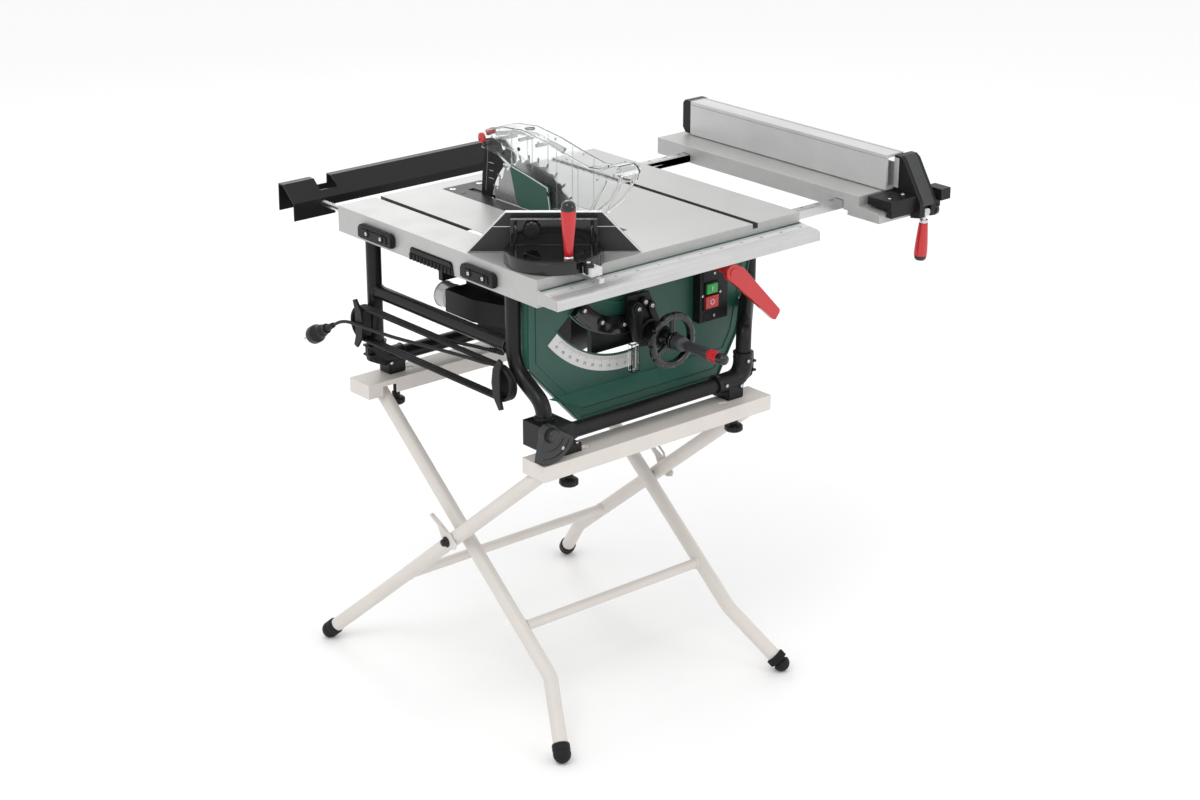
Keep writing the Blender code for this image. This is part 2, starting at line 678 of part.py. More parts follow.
def tilt_carriage():
    """The trunnion plates that carry the cutting unit, with the boss outside the panel."""
    inner = prism("tilt_carriage", [(-0.045, 0.672), (0.100, 0.672), (0.100, 0.850), (0.012, 0.850),
                                    (-0.045, 0.800)], "y", INNER_FRONT, INNER_FRONT + 0.012, BLACK_STEEL)
    rear = prism("carriage_rear", [(-0.045, 0.700), (0.100, 0.700), (0.100, 0.850), (0.012, 0.850),
                                   (-0.045, 0.800)], "y", 0.296, 0.308, BLACK_STEEL)
    bar = box("carriage_bar", (-0.045, INNER_FRONT + 0.006, 0.740), (-0.033, 0.302, 0.780), BLACK_STEEL)
    plate = prism("carriage_face", [(-0.002, 0.742), (0.020, 0.700), (0.034, 0.6815), (0.072, 0.6815),
                                    (0.076, 0.725), (0.050, 0.785), (-0.002, 0.785)],
                  "y", PLATE_FRONT, PLATE_BACK, BLACK_STEEL)
    boss = turned("carriage_boss", [(0.0225, 0), (0.0225, 0.036), (0.019, -0.001 + PLATE_BACK - BOSS_FRONT)],
                  (WHEEL[0], PLATE_BACK - 0.001, WHEEL[1]), (0, -1, 0), BLACK_STEEL, 20)
    along = Vector((WHEEL_OUT, 0, -WHEEL_DROP)).normalized()
    neck_at = Vector((TILT[0], 0, TILT[1])) + along * 0.1955
    neck = rod("carriage_neck", (neck_at.x, PLATE_BACK - 0.003, neck_at.z),
               (neck_at.x, INNER_FRONT + 0.003, neck_at.z), 0.0078, BLACK_STEEL, 12)
    add(inner, rear, bar, plate, boss, neck)
    cut(inner, rod("wheel_bore", (WHEEL[0], -0.30, WHEEL[1]), (WHEEL[0], PLATE_BACK + 0.005, WHEEL[1]),
                   0.0072, BLACK_STEEL, 16))
    cut(inner, rod("crank_bore", (WHEEL[0], -0.18, WHEEL[1]), (WHEEL[0], -0.10, WHEEL[1]),
                   0.0048, BLACK_STEEL, 12))
    return set_origin(inner, (BLADE_X, 0, TABLE_TOP))


tilt_carriage()

RIM_R = 0.0525
WHEEL_Y = (-0.2700, -0.2540)


def tilt_handwheel():
    """Rim, hub and three spokes; the hollow shaft ends in the pinion on the rack."""
    y_front, y_back = WHEEL_Y
    centre = (WHEEL[0], 0, WHEEL[1])
    rim = ring("tilt_handwheel", RIM_R - 0.012, RIM_R, (WHEEL[0], y_back, WHEEL[1]), (0, -1, 0),
               y_back - y_front - 0.002, BLACK_PLASTIC, 32)
    hub = rod("wheel_hub", (WHEEL[0], BOSS_FRONT - GAP, WHEEL[1]), (WHEEL[0], y_front, WHEEL[1]), 0.017,
              BLACK_PLASTIC, 20)
    shaft = rod("wheel_shaft", (WHEEL[0], -0.250, WHEEL[1]), (WHEEL[0], -0.1840, WHEEL[1]), 0.0064,
                STEEL, 16)
    pinion = rod("wheel_pinion", (WHEEL[0], PLATE_BACK + 0.0010, WHEEL[1]), (WHEEL[0], -0.1798, WHEEL[1]),
                 0.0084, STEEL, 16)
    add(rim, hub)
    for i in range(3):
        turn = radians(90 + 120 * i)
        out = Vector((cos(turn), 0, sin(turn)))
        start, end = Vector(centre) + out * 0.010, Vector(centre) + out * (RIM_R - 0.006)
        start.y = end.y = 0.5 * (y_front + y_back)
        add(rim, rod("wheel_spoke", start, end, 0.0055, BLACK_PLASTIC, 8))
    add(rim, shaft, pinion)
    cut(rim, rod("wheel_hole", (WHEEL[0], -0.30, WHEEL[1]), (WHEEL[0], -0.15, WHEEL[1]), 0.0046, STEEL, 12))
    return set_origin(rim, (WHEEL[0], y_back, WHEEL[1]))


tilt_handwheel()

GRIP_SHIFT = 0.010


def height_crank():
    """The inner crank: shaft through the wheel, short arm and the long grip."""
    hub = turned("height_crank", [(0.0145, 0), (0.0145, 0.020), (0.010, 0.024)],
                 (WHEEL[0], WHEEL_Y[0] - GAP - 0.0002, WHEEL[1]), (0, -1, 0), BLACK_PLASTIC, 20)
    grip_x, grip_z = WHEEL[0] + GRIP_SHIFT, WHEEL[1] - 0.5 * GRIP_SHIFT
    grip = turned("crank_grip", [(0.0085, 0), (0.0090, 0.012), (0.0105, 0.080), (0.0105, 0.104),
                                 (0.0090, 0.112), (0.006, 0.115)],
                  (grip_x, -0.2770, grip_z), (0, -1, 0), BLACK_PLASTIC, 16)
    shaft = rod("crank_shaft", (WHEEL[0], -0.275, WHEEL[1]), (WHEEL[0], -0.1320, WHEEL[1]), 0.0040, STEEL, 12)
    gear = rod("crank_gear", (WHEEL[0], -0.1340, WHEEL[1]), (WHEEL[0], -0.1250, WHEEL[1]), 0.0110, STEEL, 16)
    add(hub, grip, shaft, gear)
    return set_origin(hub, (WHEEL[0], WHEEL_Y[0], WHEEL[1]))


height_crank()

CLAMP_PIVOT = (0.010, 0.7640)


def bevel_clamp_lever():
    outline = arc_points(CLAMP_PIVOT, 0.0125, radians(-10), radians(190), 8)
    outline += [(0.0060, 0.712), (0.0100, 0.698), (0.0220, 0.698), (0.0250, 0.716)]
    lever = prism("bevel_clamp_lever", outline, "y", PLATE_FRONT - 0.0150, PLATE_FRONT - GAP, BLACK_PLASTIC)
    return set_origin(lever, (CLAMP_PIVOT[0], PLATE_FRONT, CLAMP_PIVOT[1]))


bevel_clamp_lever()

COVER = (-0.021, 0.034, -0.064, 0.252, 0.622, 0.826)


def lower_blade_cover():
    """The pan below the table that catches the sawdust, with its chute and round port."""
    left, right, front, back, low, high = COVER
    def side(inset):
        corner = 0.06
        return ([(front + inset, high + inset), (front + inset, low + corner)]
                + [(front + corner - (corner - inset) * cos(a), low + corner - (corner - inset) * sin(a))
                   for a in (pi / 8, pi / 4, 3 * pi / 8)]
                + [(front + corner, low + inset), (back - corner, low + inset)]
                + [(back - corner + (corner - inset) * sin(a), low + corner - (corner - inset) * cos(a))
                   for a in (pi / 8, pi / 4, 3 * pi / 8)]
                + [(back - inset, low + corner), (back - inset, high + inset)])
    cover = prism("lower_blade_cover", side(0.0), "x", left, right, BLACK_PLASTIC)
    inside = prism("cover_inside", side(0.003), "x", left + 0.003, right + 0.02, BLACK_PLASTIC)
    chute = prism("cover_chute", [(left + 0.001, 0.070), (left + 0.001, 0.254), (-0.0700, 0.254),
                                  (-0.0700, 0.170),
                                  (-0.050, 0.110)], "z", 0.655, 0.700, BLACK_PLASTIC)
    port = turned("cover_port", [(0.0250, 0), (0.0250, 0.040)], (-0.0445, 0.253, 0.676), (0, 1, 0),
                  STEEL, 24)
    bore = turned("port_bore", [(0.0215, 0), (0.0215, 0.060)], (-0.0445, 0.240, 0.676), (0, 1, 0), STEEL, 24)
    cut(cover, inside)
    add(cover, chute, port)
    cut(cover, bore)
    return set_origin(cover, (BLADE_X, 0, TABLE_TOP))


lower_blade_cover()

# ---- height carriage: motor, blade, knife, guard ---------------------------------------------------

MOTOR_Y, MOTOR_Z, MOTOR_R = 0.120, 0.782, 0.042


def motor():
    """Gear case, motor barrel and the arm that holds the riving knife."""
    outline = arc_points((BLADE_Y, BLADE_Z), 0.0155, radians(60), radians(200), 6)
    outline += arc_points((MOTOR_Y, MOTOR_Z), 0.036, radians(190), radians(350), 8)
    outline += [(0.228, 0.790), (0.238, 0.800), (0.238, 0.832), (0.225, 0.838), (0.150, 0.838),
                (0.110, 0.858)]
    case = prism("motor", outline, "x", 0.0360, 0.0640, BLACK_STEEL)
    barrel = turned("motor_barrel", [(MOTOR_R - 0.003, 0), (MOTOR_R, 0.006), (MOTOR_R, 0.150),
                                     (MOTOR_R - 0.010, 0.165)], (0.0600, MOTOR_Y, MOTOR_Z), (1, 0, 0),
                    BLACK_STEEL, 24)
    stub = rod("arbor_stub", (BLADE_X + 0.0078, BLADE_Y, BLADE_Z), (0.040, BLADE_Y, BLADE_Z), 0.0130,
               BLACK_STEEL, 16)
    holder = box("knife_holder", (BLADE_X + KNIFE_THICK / 2 + GAP, 0.2200, 0.790), (0.0370, 0.2380, 0.832),
                 BLACK_STEEL)
    add(case, barrel, stub, holder)
    return set_origin(case, (BLADE_X, BLADE_Y, BLADE_Z))


motor()


def saw_blade():
    """A round blade with raked teeth and its bore."""
    teeth = 30
    shape = bmesh.new()
    outline = []
    for i in range(teeth):
        start = 2 * pi * i / teeth
        for radius, share in ((BLADE_R - 0.0075, 0.0), (BLADE_R - 0.0065, 0.30), (BLADE_R - 0.001, 0.72),
                              (BLADE_R, 0.98)):
            angle = start + share * 2 * pi / teeth
            outline.append((radius * cos(angle), radius * sin(angle)))
    count = len(outline)
    def bore(i):
        x, z = outline[i]
        size = hypot(x, z)
        return (x / size * BORE_R, z / size * BORE_R)
    loops = []
    for half, points in ((-1, "in"), (-1, "out"), (1, "out"), (1, "in")):
        spots = [outline[i] if points == "out" else bore(i) for i in range(0, count)]
        loops.append([shape.verts.new((BLADE_X + half * BLADE_THICK / 2, BLADE_Y + a, BLADE_Z + b))
                      for a, b in spots])
    for first, second in zip(loops, loops[1:] + loops[:1]):
        for i in range(count):
            j = (i + 1) % count
            shape.faces.new((first[i], first[j], second[j], second[i]))
    blade = keep("saw_blade", shape, STEEL)
    return set_origin(blade, (BLADE_X, BLADE_Y, BLADE_Z))


saw_blade()


def arbor():
    """Arbor with its two flanges and the nut, clamped round the blade's hub."""
    half = BLADE_THICK / 2 + GAP
    profile = [(0.0060, -0.0130), (0.0085, -0.0130), (0.0085, -0.0070), (0.0160, -0.0060), (0.0165, -half),
               (BORE_R - 0.0005, -half), (BORE_R - 0.0005, half), (0.0205, half), (0.0205, 0.0066),
               (0.0120, 0.0070)]
    piece = turned("arbor_and_nut", profile, (BLADE_X, BLADE_Y, BLADE_Z), (1, 0, 0), STEEL, 24)
    return set_origin(piece, (BLADE_X, BLADE_Y, BLADE_Z))


arbor()


def riving_knife():
    """The curved knife behind the blade, 5 mm from its teeth."""
    near = BLADE_R + 0.006
    outline = [(BLADE_Y + near * cos(a), BLADE_Z + near * sin(a)) for a in
               [radians(-22 + 66 * i / 10) for i in range(11)]]
    outline += [(0.1700, 0.975), (0.1780, 0.990), (0.2020, 0.9955), (0.2200, 0.990), (0.2330, 0.930),
                (0.2385, 0.860), (0.2385, 0.800)]
    knife = prism("riving_knife", outline, "x", BLADE_X - KNIFE_THICK / 2, BLADE_X + KNIFE_THICK / 2,
                  BLACK_STEEL)
    return cut(knife, rod("knife_hole", (BLADE_X - 0.01, *GUARD_PIVOT), (BLADE_X + 0.01, *GUARD_PIVOT),
                          PIN_R + CLEAR, BLACK_STEEL, 12))


riving_knife()


def guard_side(inset):
    """The hood's side outline: arched roof, raised nose, sloping lower edge."""
    roof = [(0.2110, 1.0000), (0.1950, 1.0160), (0.1500, 1.0300), (0.0900, 1.0359), (0.0200, 1.0280),
            (-0.0500, 1.0140), (-0.1000, 1.0060), (-0.1350, 1.0090), (-0.1550, 1.0200), (-0.1800, 1.0230),
            (-0.1960, 1.0120)]
    lower = [(-0.1900, 0.9940), (-0.1500, 0.9887), (-0.1031, 0.9135), (-0.0850, 0.8980), (0.0000, 0.8945),
             (0.1630, 0.9740)]
    if inset:
        roof = [(y, z - inset) for y, z in roof]
        roof[0] = (0.25, 0.9990)
        roof[-1] = (-0.1930, 1.0090)
        lower = [(-0.1880, 0.9960)] + [(y, z - 0.10) for y, z in lower[1:]] + [(0.25, 0.88)]
    return roof + lower


def blade_guard():
    left, right = BLADE_X - GUARD_HALF, BLADE_X + GUARD_HALF
    hood = prism("blade_guard", guard_side(0) + [(0.2110, 0.9780)], "x", left, right, CLEAR_PLASTIC)
    inside = prism("guard_inside", guard_side(GUARD_WALL), "x", left + GUARD_WALL, right - GUARD_WALL,
                   CLEAR_PLASTIC)
    relief = box("guard_relief", (right - GUARD_WALL - 0.001, -0.11, 0.88), (right + 0.01, 0.06, 0.908),
                 CLEAR_PLASTIC)
    cut(hood, inside, relief)
    add(hood, rod("guard_pin", (left + 0.001, *GUARD_PIVOT), (right - 0.001, *GUARD_PIVOT), PIN_R, STEEL, 12))
    return set_origin(hood, (BLADE_X, *GUARD_PIVOT))


blade_guard()


def guard_flap():
    outline = [(0.0000, 0.8900), (0.0100, 0.9440), (0.0300, 0.9480), (0.0700, 0.9560), (0.1180, 0.9640),
               (0.1220, 0.9560), (0.1040, 0.8960), (0.0920, 0.8880)]
    outer = BLADE_X - GUARD_HALF - CLEAR
    flap = prism("guard_flap", outline, "x", outer - 0.0022, outer, GREEN)
    return set_origin(flap, (outer, *FLAP_PIVOT))


guard_flap()

# ---- extensions and rip fence ----------------------------------------------------------------------


def right_extension():
    low = TABLE_TOP - 0.034
    plate = box("right_extension", (EXT_LEFT, TABLE_FRONT, low), (EXT_RIGHT, EXT_BACK, TABLE_TOP), ALUMINIUM)
    hollow = box("extension_hollow", (EXT_LEFT + 0.004, TABLE_FRONT + 0.035, low - 0.01),
                 (EXT_RIGHT - 0.004, EXT_BACK - 0.004, TABLE_TOP - 0.006), ALUMINIUM)
    cut(plate, hollow)
    rail = prism("extension_profile", rail_outline(TABLE_FRONT + 0.028), "x", EXT_LEFT, EXT_RIGHT, ALUMINIUM)
    add(plate, rail)
    for y in EXT_RAIL_Y:
        cut(plate, box("extension_seat", (EXT_LEFT - 0.01, y - EXT_RAIL_WIDE / 2 - GAP, EXT_RAIL_LOW - 0.02),
                       (EXT_LEFT + 0.1430, y + EXT_RAIL_WIDE / 2 + GAP, EXT_RAIL_TOP + GAP), ALUMINIUM))
    return plate


right_extension()


def extension_rails():
    """The two flat rails that slide in the table, joined by a cross bar inside the extension."""
    end = EXT_LEFT + 0.1400
    rails = [box("extension_rails" if y < 0 else "extension_rail_rear",
                 (0.250, y - EXT_RAIL_WIDE / 2, EXT_RAIL_LOW),
                 (end, y + EXT_RAIL_WIDE / 2, EXT_RAIL_TOP), STEEL) for y in EXT_RAIL_Y]
    bar = box("extension_cross_bar", (end - 0.025, EXT_RAIL_Y[0], EXT_RAIL_LOW + 0.002),
              (end - 0.001, EXT_RAIL_Y[1], EXT_RAIL_TOP - 0.002), STEEL)
    return add(rails[0], rails[1], bar)


extension_rails()


def fence_outline():
    left, right, low, high = FENCE_X, FENCE_X + FENCE_WIDTH, FENCE_LOW, FENCE_HIGH
    wall = 0.0050
    web = left + 0.028
    return [(left, low), (left, high), (right, high), (right, high - 0.006), (left + wall, high - 0.006),
            (left + wall, low + 0.006), (web, low + 0.006), (web, low + 0.050), (web + 0.004, low + 0.050),
            (web + 0.004, low + 0.006), (right, low + 0.006), (right, low)]


FENCE_CAP_BACK = FENCE_BACK + 0.022


def fence_profile():
    """The extruded fence with its end cap."""
    profile = prism("fence_profile", fence_outline(), "y", FENCE_FRONT, FENCE_BACK, EXTRUDED)
    cap = prism("fence_end_cap", [(FENCE_BACK - 0.001, FENCE_LOW + 0.001),
                                  (FENCE_BACK - 0.001, FENCE_HIGH + 0.001),
                                  (FENCE_CAP_BACK - 0.006, FENCE_HIGH + 0.001),
                                  (FENCE_CAP_BACK, FENCE_HIGH - 0.006),
                                  (FENCE_CAP_BACK, FENCE_LOW + 0.012),
                                  (FENCE_CAP_BACK - 0.008, FENCE_LOW + 0.002)],
                "x", FENCE_X - 0.0005, FENCE_X + FENCE_WIDTH + 0.001, BLACK_PLASTIC)
    return add(profile, cap)


fence_profile()
HEAD_X = (0.622, 0.668)
CAM = (-0.3160, 0.8460)


def fence_head():
    """The clamp head: a wedge on the front of the fence, a slide bar over the rail and a front hook."""
    above = RAIL_TOP + 0.0012
    side = [(FENCE_FRONT - GAP, above), (FENCE_FRONT - GAP, 0.9480), (-0.2700, 0.9480), (-0.2790, 0.9420),
            (-0.3260, 0.8660), (-0.3260, 0.8380), (RAIL_FRONT - 0.0012, 0.8340), (RAIL_FRONT - 0.0012, above)]
    wedge = prism("fence_head", side, "x", *HEAD_X, BLACK_PLASTIC)
    bar = box("head_bar", (FENCE_X - 0.048, -0.3160, above + 0.001), (0.694, FENCE_FRONT - GAP, 0.8800),
              BLACK_PLASTIC)
    lip = box("head_lip", (FENCE_X - 0.046, -0.3158, 0.8480), (0.690, RAIL_FRONT - 0.0014, 0.8700),
              BLACK_PLASTIC)
    stop = box("head_stop", (0.676, -0.3300, 0.8640), (0.702, -0.2900, 0.8860), BLACK_PLASTIC)
    slot = box("head_slot", (0.6365, -0.3400, 0.8200), (0.6535, -0.3040, 0.8590), BLACK_PLASTIC)
    add(wedge, bar, lip, stop)
    return cut(wedge, slot)


fence_head()


def fence_handle():
    """The cam lever that hangs in front of the rail and swings up to free the fence."""
    x = 0.5 * (0.6365 + 0.6535)
    hub = rod("fence_handle", (x - 0.0078, *CAM), (x + 0.0078, *CAM), 0.0100, STEEL, 16)
    neck = rod("handle_neck", (x, CAM[0], CAM[1] - 0.004), (x, CAM[0], 0.8240), 0.0050, STEEL, 12)
    grip = turned("handle_grip", [(0.0075, 0), (0.0090, 0.006), (0.0125, 0.045), (0.0130, 0.062),
                                  (0.0105, 0.074), (0.0060, 0.077)], (x, CAM[0], 0.8250), (0, 0.06, -1),
                                  RED, 16)
    add(hub, neck, grip)
    return set_origin(hub, (x, *CAM))


fence_handle()


def rear_extension():
    """The folded sheet behind the table, notched in line with the slots, on two round rods."""
    front, back = REAR_SHEET
    high = TABLE_TOP - 0.001
    side = [(front, 0.8134), (front, 0.8480), (0.5310, high), (back - 0.001, high), (back, 0.8250),
            (back - SHEET, 0.8250), (back - SHEET - 0.001, high - SHEET), (0.5322, high - SHEET),
            (front + SHEET, 0.8470), (front + SHEET, 0.8134)]
    sheet = prism("rear_extension", side, "x", *REAR_SHEET_X, BLACK_STEEL)
    for x in (LEFT_SLOT_X, RIGHT_SLOT_X):
        cut(sheet, box("sheet_notch", (x - 0.020, front + 0.014, 0.860),
                       (x + 0.020, back + 0.01, high + 0.01),
                       BLACK_STEEL))
    cut(sheet, box("sheet_step", (REAR_SHEET_X[0] + 0.095, front - 0.01, 0.80),
                   (REAR_SHEET_X[1] + 0.01, front + 0.008, 0.832), BLACK_STEEL))
    for x in ROD_X:
        add(sheet, rod("sheet_rod", (x, 0.190, ROD_Z), (x, front + 0.002, ROD_Z), ROD_R, STEEL, 10))
    return sheet


rear_extension()

# ---- mitre gauge -----------------------------------------------------------------------------------

GAUGE_PIVOT = (LEFT_SLOT_X, GAUGE_Y)
GAUGE_LOW = TABLE_TOP + 0.0006


def mitre_bar():
    half = SLOT_WIDTH / 2 - CLEAR
    bar = box("mitre_bar", (LEFT_SLOT_X - half, -0.3090, TABLE_TOP - SLOT_DEPTH + CLEAR),
              (LEFT_SLOT_X + half, 0.060, TABLE_TOP - 0.0002), STEEL)
    back = GAUGE_Y - GAUGE_R - 0.004
    pointer = box("pointer_block", (LEFT_SLOT_X - 0.012, back - 0.024, GAUGE_LOW),
                  (LEFT_SLOT_X + 0.012, back, 0.895),
                  STEEL)
    riser = box("pointer_riser", (LEFT_SLOT_X - half, back - 0.020, TABLE_TOP - 0.002),
                (LEFT_SLOT_X + half, back - 0.004, TABLE_TOP + 0.004), STEEL)
    return add(bar, pointer, riser)


mitre_bar()


def mitre_protractor():
    """The half-round body with the upright that carries the fence; turns on the bar's pivot."""
    px, py = GAUGE_PIVOT
    def at(u, v):
        return (px + u, py + v)
    outline = [at(-0.078, GAUGE_FACE - GAP), at(-GAUGE_R, 0.0)]
    outline += [at(GAUGE_R * cos(a), GAUGE_R * sin(a)) for a in
                [radians(180 + 180 * i / 16) for i in range(1, 16)]]
    outline += [at(GAUGE_R, 0.0), at(0.078, GAUGE_FACE - GAP)]
    body = prism("mitre_protractor", outline, "z", GAUGE_LOW, TABLE_TOP + 0.022, BLACK_PLASTIC)
    wall = [at(-0.076, GAUGE_FACE - GAP), at(-0.076, 0.022), at(0.076, 0.022), at(0.076, GAUGE_FACE - GAP)]
    upright = prism("protractor_wall", wall, "z", TABLE_TOP + 0.010, TABLE_TOP + 0.068, BLACK_PLASTIC)
    add(body, upright)
    return set_origin(body, (px, py, GAUGE_LOW), GAUGE_TURN)


mitre_protractor()


def mitre_fence():
    """The upright fence plate with its ends cut at 45 degrees."""
    px, py = GAUGE_PIVOT
    low, high = TABLE_TOP + 0.0015, TABLE_TOP + 0.0745
    outline = [(px - 0.153, low), (px + 0.153, low), (px + 0.085, high), (px - 0.085, high)]
    fence = prism("mitre_fence", outline, "y", py + GAUGE_FACE, py + GAUGE_FACE + 0.012, EXTRUDED)
    return set_origin(fence, (px, py, GAUGE_LOW), GAUGE_TURN)


mitre_fence()
HANDLE_AT = (0.026, -0.060)


def mitre_handle():
    turn = Matrix.Rotation(GAUGE_TURN, 3, "Z")
    shift = turn @ Vector((HANDLE_AT[0], HANDLE_AT[1], 0))
    foot = Vector((GAUGE_PIVOT[0], GAUGE_PIVOT[1], TABLE_TOP + 0.022 + GAP)) + shift
    profile = [(0.0085, 0), (0.0085, 0.004), (0.0075, 0.007), (0.0095, 0.030), (0.0125, 0.060),
               (0.0135, 0.082), (0.0125, 0.094), (0.0085, 0.102), (0, 0.1045)]
    return set_origin(turned("mitre_handle", profile, foot, (0, 0, 1), RED, 20), foot)


mitre_handle()

# ---- mains cord on its winding hooks -----------------------------------------------------------------

CORD_PITCH = 2 * CORD_R + 0.0001
HOOK_IN = LEFT_TUBE_X - TUBE_R - GAP                    # the spools stand on the uprights
WIND_IN = HOOK_IN - 2 * GAP
WIND_OUT = WIND_IN - CORD_TURNS * CORD_PITCH
FLANGE_IN = WIND_OUT - GAP
FLANGE_OUT = FLANGE_IN - 0.005
HOOK_Y = (UPRIGHT_Y, REAR_TUBE_Y)


def cord_hook(name, y, outward):
    """A clip on an upright: a spool and a flange whose horns point up and down."""
    low, high = WINDING_Z - 0.0262, WINDING_Z + 0.0262
    spool = box(name, (FLANGE_IN - 0.001, y - 0.007, low), (HOOK_IN, y + 0.007, high), BLACK_PLASTIC)
    outline = [(y - outward * a, b) for a, b in
               [(-0.016, low - 0.018), (-0.006, low - 0.022), (0.010, low), (0.014, WINDING_Z), (0.010, high),
                (-0.006, high + 0.022), (-0.016, high + 0.018), (-0.010, high), (-0.010, low)]]
    flange = prism(name + "_flange", outline, "x", FLANGE_OUT, FLANGE_IN, BLACK_PLASTIC)
    return add(spool, flange)


cord_hook("cord_hook_front", HOOK_Y[0], -1)
cord_hook("cord_hook_rear", HOOK_Y[1], 1)


def winding_outline(radius, steps=8):
    """A long loop with round ends, round both hooks, as (y, z) points."""
    front, rear = HOOK_Y
    return (arc_points((rear, WINDING_Z), radius, -pi / 2, pi / 2, steps)
            + arc_points((front, WINDING_Z), radius, pi / 2, 3 * pi / 2, steps))


def power_cord_winding():
    """The wound turns, side by side on the hooks."""
    outer = prism("power_cord_winding", winding_outline(WINDING_R + CORD_R), "x", WIND_OUT, WIND_IN, RUBBER)
    inner = prism("winding_inside", winding_outline(WINDING_R - CORD_R), "x", WIND_OUT - 0.01, WIND_IN + 0.01,
                  RUBBER)
    return cut(outer, inner)


power_cord_winding()


def curve_through(points, count):
    """Points spaced evenly along a smooth curve through the given points."""
    points = [np.array(p, float) for p in points]
    padded = [2 * points[0] - points[1]] + points + [2 * points[-1] - points[-2]]
    fine = []
    for before, here, ahead, beyond in zip(padded, padded[1:], padded[2:], padded[3:]):
        for t in np.linspace(0, 1, 16, endpoint=False):
            fine.append(0.5 * (2 * here + (ahead - before) * t
                               + (2 * before - 5 * here + 4 * ahead - beyond) * t ** 2
                               + (3 * here - before - 3 * ahead + beyond) * t ** 3))
    fine = np.array(fine + [points[-1]])
    run = np.concatenate([[0], np.cumsum(np.linalg.norm(np.diff(fine, axis=0), axis=1))])
    spots = np.linspace(0, run[-1], count)
    return np.stack([np.interp(spots, run, fine[:, k]) for k in range(3)], axis=1)


def cord_tube(name, points, count):
    """A length of cord as a round curve with closed ends."""
    curve = bpy.data.curves.new(name, "CURVE")
    curve.dimensions = "3D"
    spline = curve.splines.new("POLY")
    route = curve_through(points, count)
    spline.points.add(len(route) - 1)
    for point, place in zip(spline.points, route):
        point.co = (*place, 1)
    curve.bevel_depth = CORD_R
    curve.bevel_resolution = 2
    curve.use_fill_caps = True
    curve.materials.append(RUBBER)
    piece = bpy.data.objects.new(name, curve)
    bpy.context.collection.objects.link(piece)
    return piece


GLAND_R = 0.0058
GLAND_Z = 0.727 - MID_R - GLAND_R - 0.0004           # just under the middle tube
GLAND_BACK = (-0.2192, -0.1150, GLAND_Z)
GLAND_MOUTH = (-0.2290, -0.0890, GLAND_Z)
gland_way = Vector(GLAND_MOUTH) - Vector(GLAND_BACK)
turned("cord_gland", [(GLAND_R, 0), (GLAND_R, 0.010), (0.0050, gland_way.length - GAP)], GLAND_BACK,
       gland_way,
       BLACK_PLASTIC, 12)

LEAD_Z = WINDING_Z + WINDING_R + 2 * CORD_R + 0.0006
cord_tube("power_cord_lead", [GLAND_MOUTH, (-0.2330, -0.0780, GLAND_Z), (-0.2395, -0.0530, GLAND_Z),
                              (-0.2430, -0.0240, 0.5 * (GLAND_Z + LEAD_Z)), (-0.2435, 0.0100, LEAD_Z)], 9)

TAIL_X = FLANGE_OUT - CORD_R - GAP
PLUG_START = (TAIL_X, 0.3460, 0.6475)
PLUG_WAY = Vector((0, 0.8706, -0.4919))
cord_tube("power_cord_tail", [(WIND_OUT - CORD_R - GAP, -0.1280, 0.6985),
                              (WIND_OUT - CORD_R - GAP, -0.0800, 0.6960),
                              (WIND_OUT - CORD_R - 0.002, 0.0400, 0.6850), (TAIL_X, 0.1600, 0.6740),
                              (TAIL_X, 0.2700, 0.6690), (TAIL_X, 0.3100, 0.6640),
                              tuple(Vector(PLUG_START) - PLUG_WAY * 0.020),
                              tuple(Vector(PLUG_START) - PLUG_WAY * 2 * GAP)], 28)


def power_plug():
    """A moulded plug with its flexible sleeve and two round pins."""
    profile = [(0.0042, 0), (0.0062, 0.004), (0.0070, 0.026), (0.0125, 0.032), (0.0165, 0.044),
               (0.0180, 0.060),
               (0.0180, 0.082)]
    plug = turned("power_plug", profile, PLUG_START, PLUG_WAY, BLACK_PLASTIC, 16)
    for side in (-1, 1):
        root = Vector(PLUG_START) + PLUG_WAY * 0.080 + Vector((side * 0.0095, 0, 0))
        add(plug, rod("plug_pin", root, root + PLUG_WAY * 0.021, 0.0024, STEEL, 8))
    return plug


power_plug()

# The row's origin: the floor point under the middle of the whole outline.
OUTLINE_MIDDLE = Vector((0.1903, 0.0780, 0))
for piece in bpy.data.objects:
    piece.location -= OUTLINE_MIDDLE
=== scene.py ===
"""Looks of a portable 10-inch table saw on its folding stand, in metres, +Z up.

Each section is one piece or one group of like pieces, in the order they are put together.
"""

from math import atan2, cos, pi, radians, sin

import bmesh
import bpy
from mathutils import Matrix, Vector


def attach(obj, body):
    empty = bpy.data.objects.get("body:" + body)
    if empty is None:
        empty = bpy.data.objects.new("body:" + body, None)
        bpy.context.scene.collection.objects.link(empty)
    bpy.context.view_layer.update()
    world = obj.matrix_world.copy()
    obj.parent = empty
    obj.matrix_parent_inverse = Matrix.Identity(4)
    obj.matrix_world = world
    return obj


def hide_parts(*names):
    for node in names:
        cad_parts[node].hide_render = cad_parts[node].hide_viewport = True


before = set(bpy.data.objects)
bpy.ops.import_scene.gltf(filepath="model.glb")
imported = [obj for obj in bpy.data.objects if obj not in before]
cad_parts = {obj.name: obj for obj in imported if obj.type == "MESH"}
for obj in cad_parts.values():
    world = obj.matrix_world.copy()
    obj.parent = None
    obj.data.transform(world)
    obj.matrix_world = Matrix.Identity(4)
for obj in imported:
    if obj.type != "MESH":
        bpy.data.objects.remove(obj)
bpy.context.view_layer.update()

# ---- studio --------------------------------------------------------------------------------------
# A pale seamless floor, a bright even room and three large soft lights, with one long-lens
# camera at about standing eye height, to the front and left of the machine.

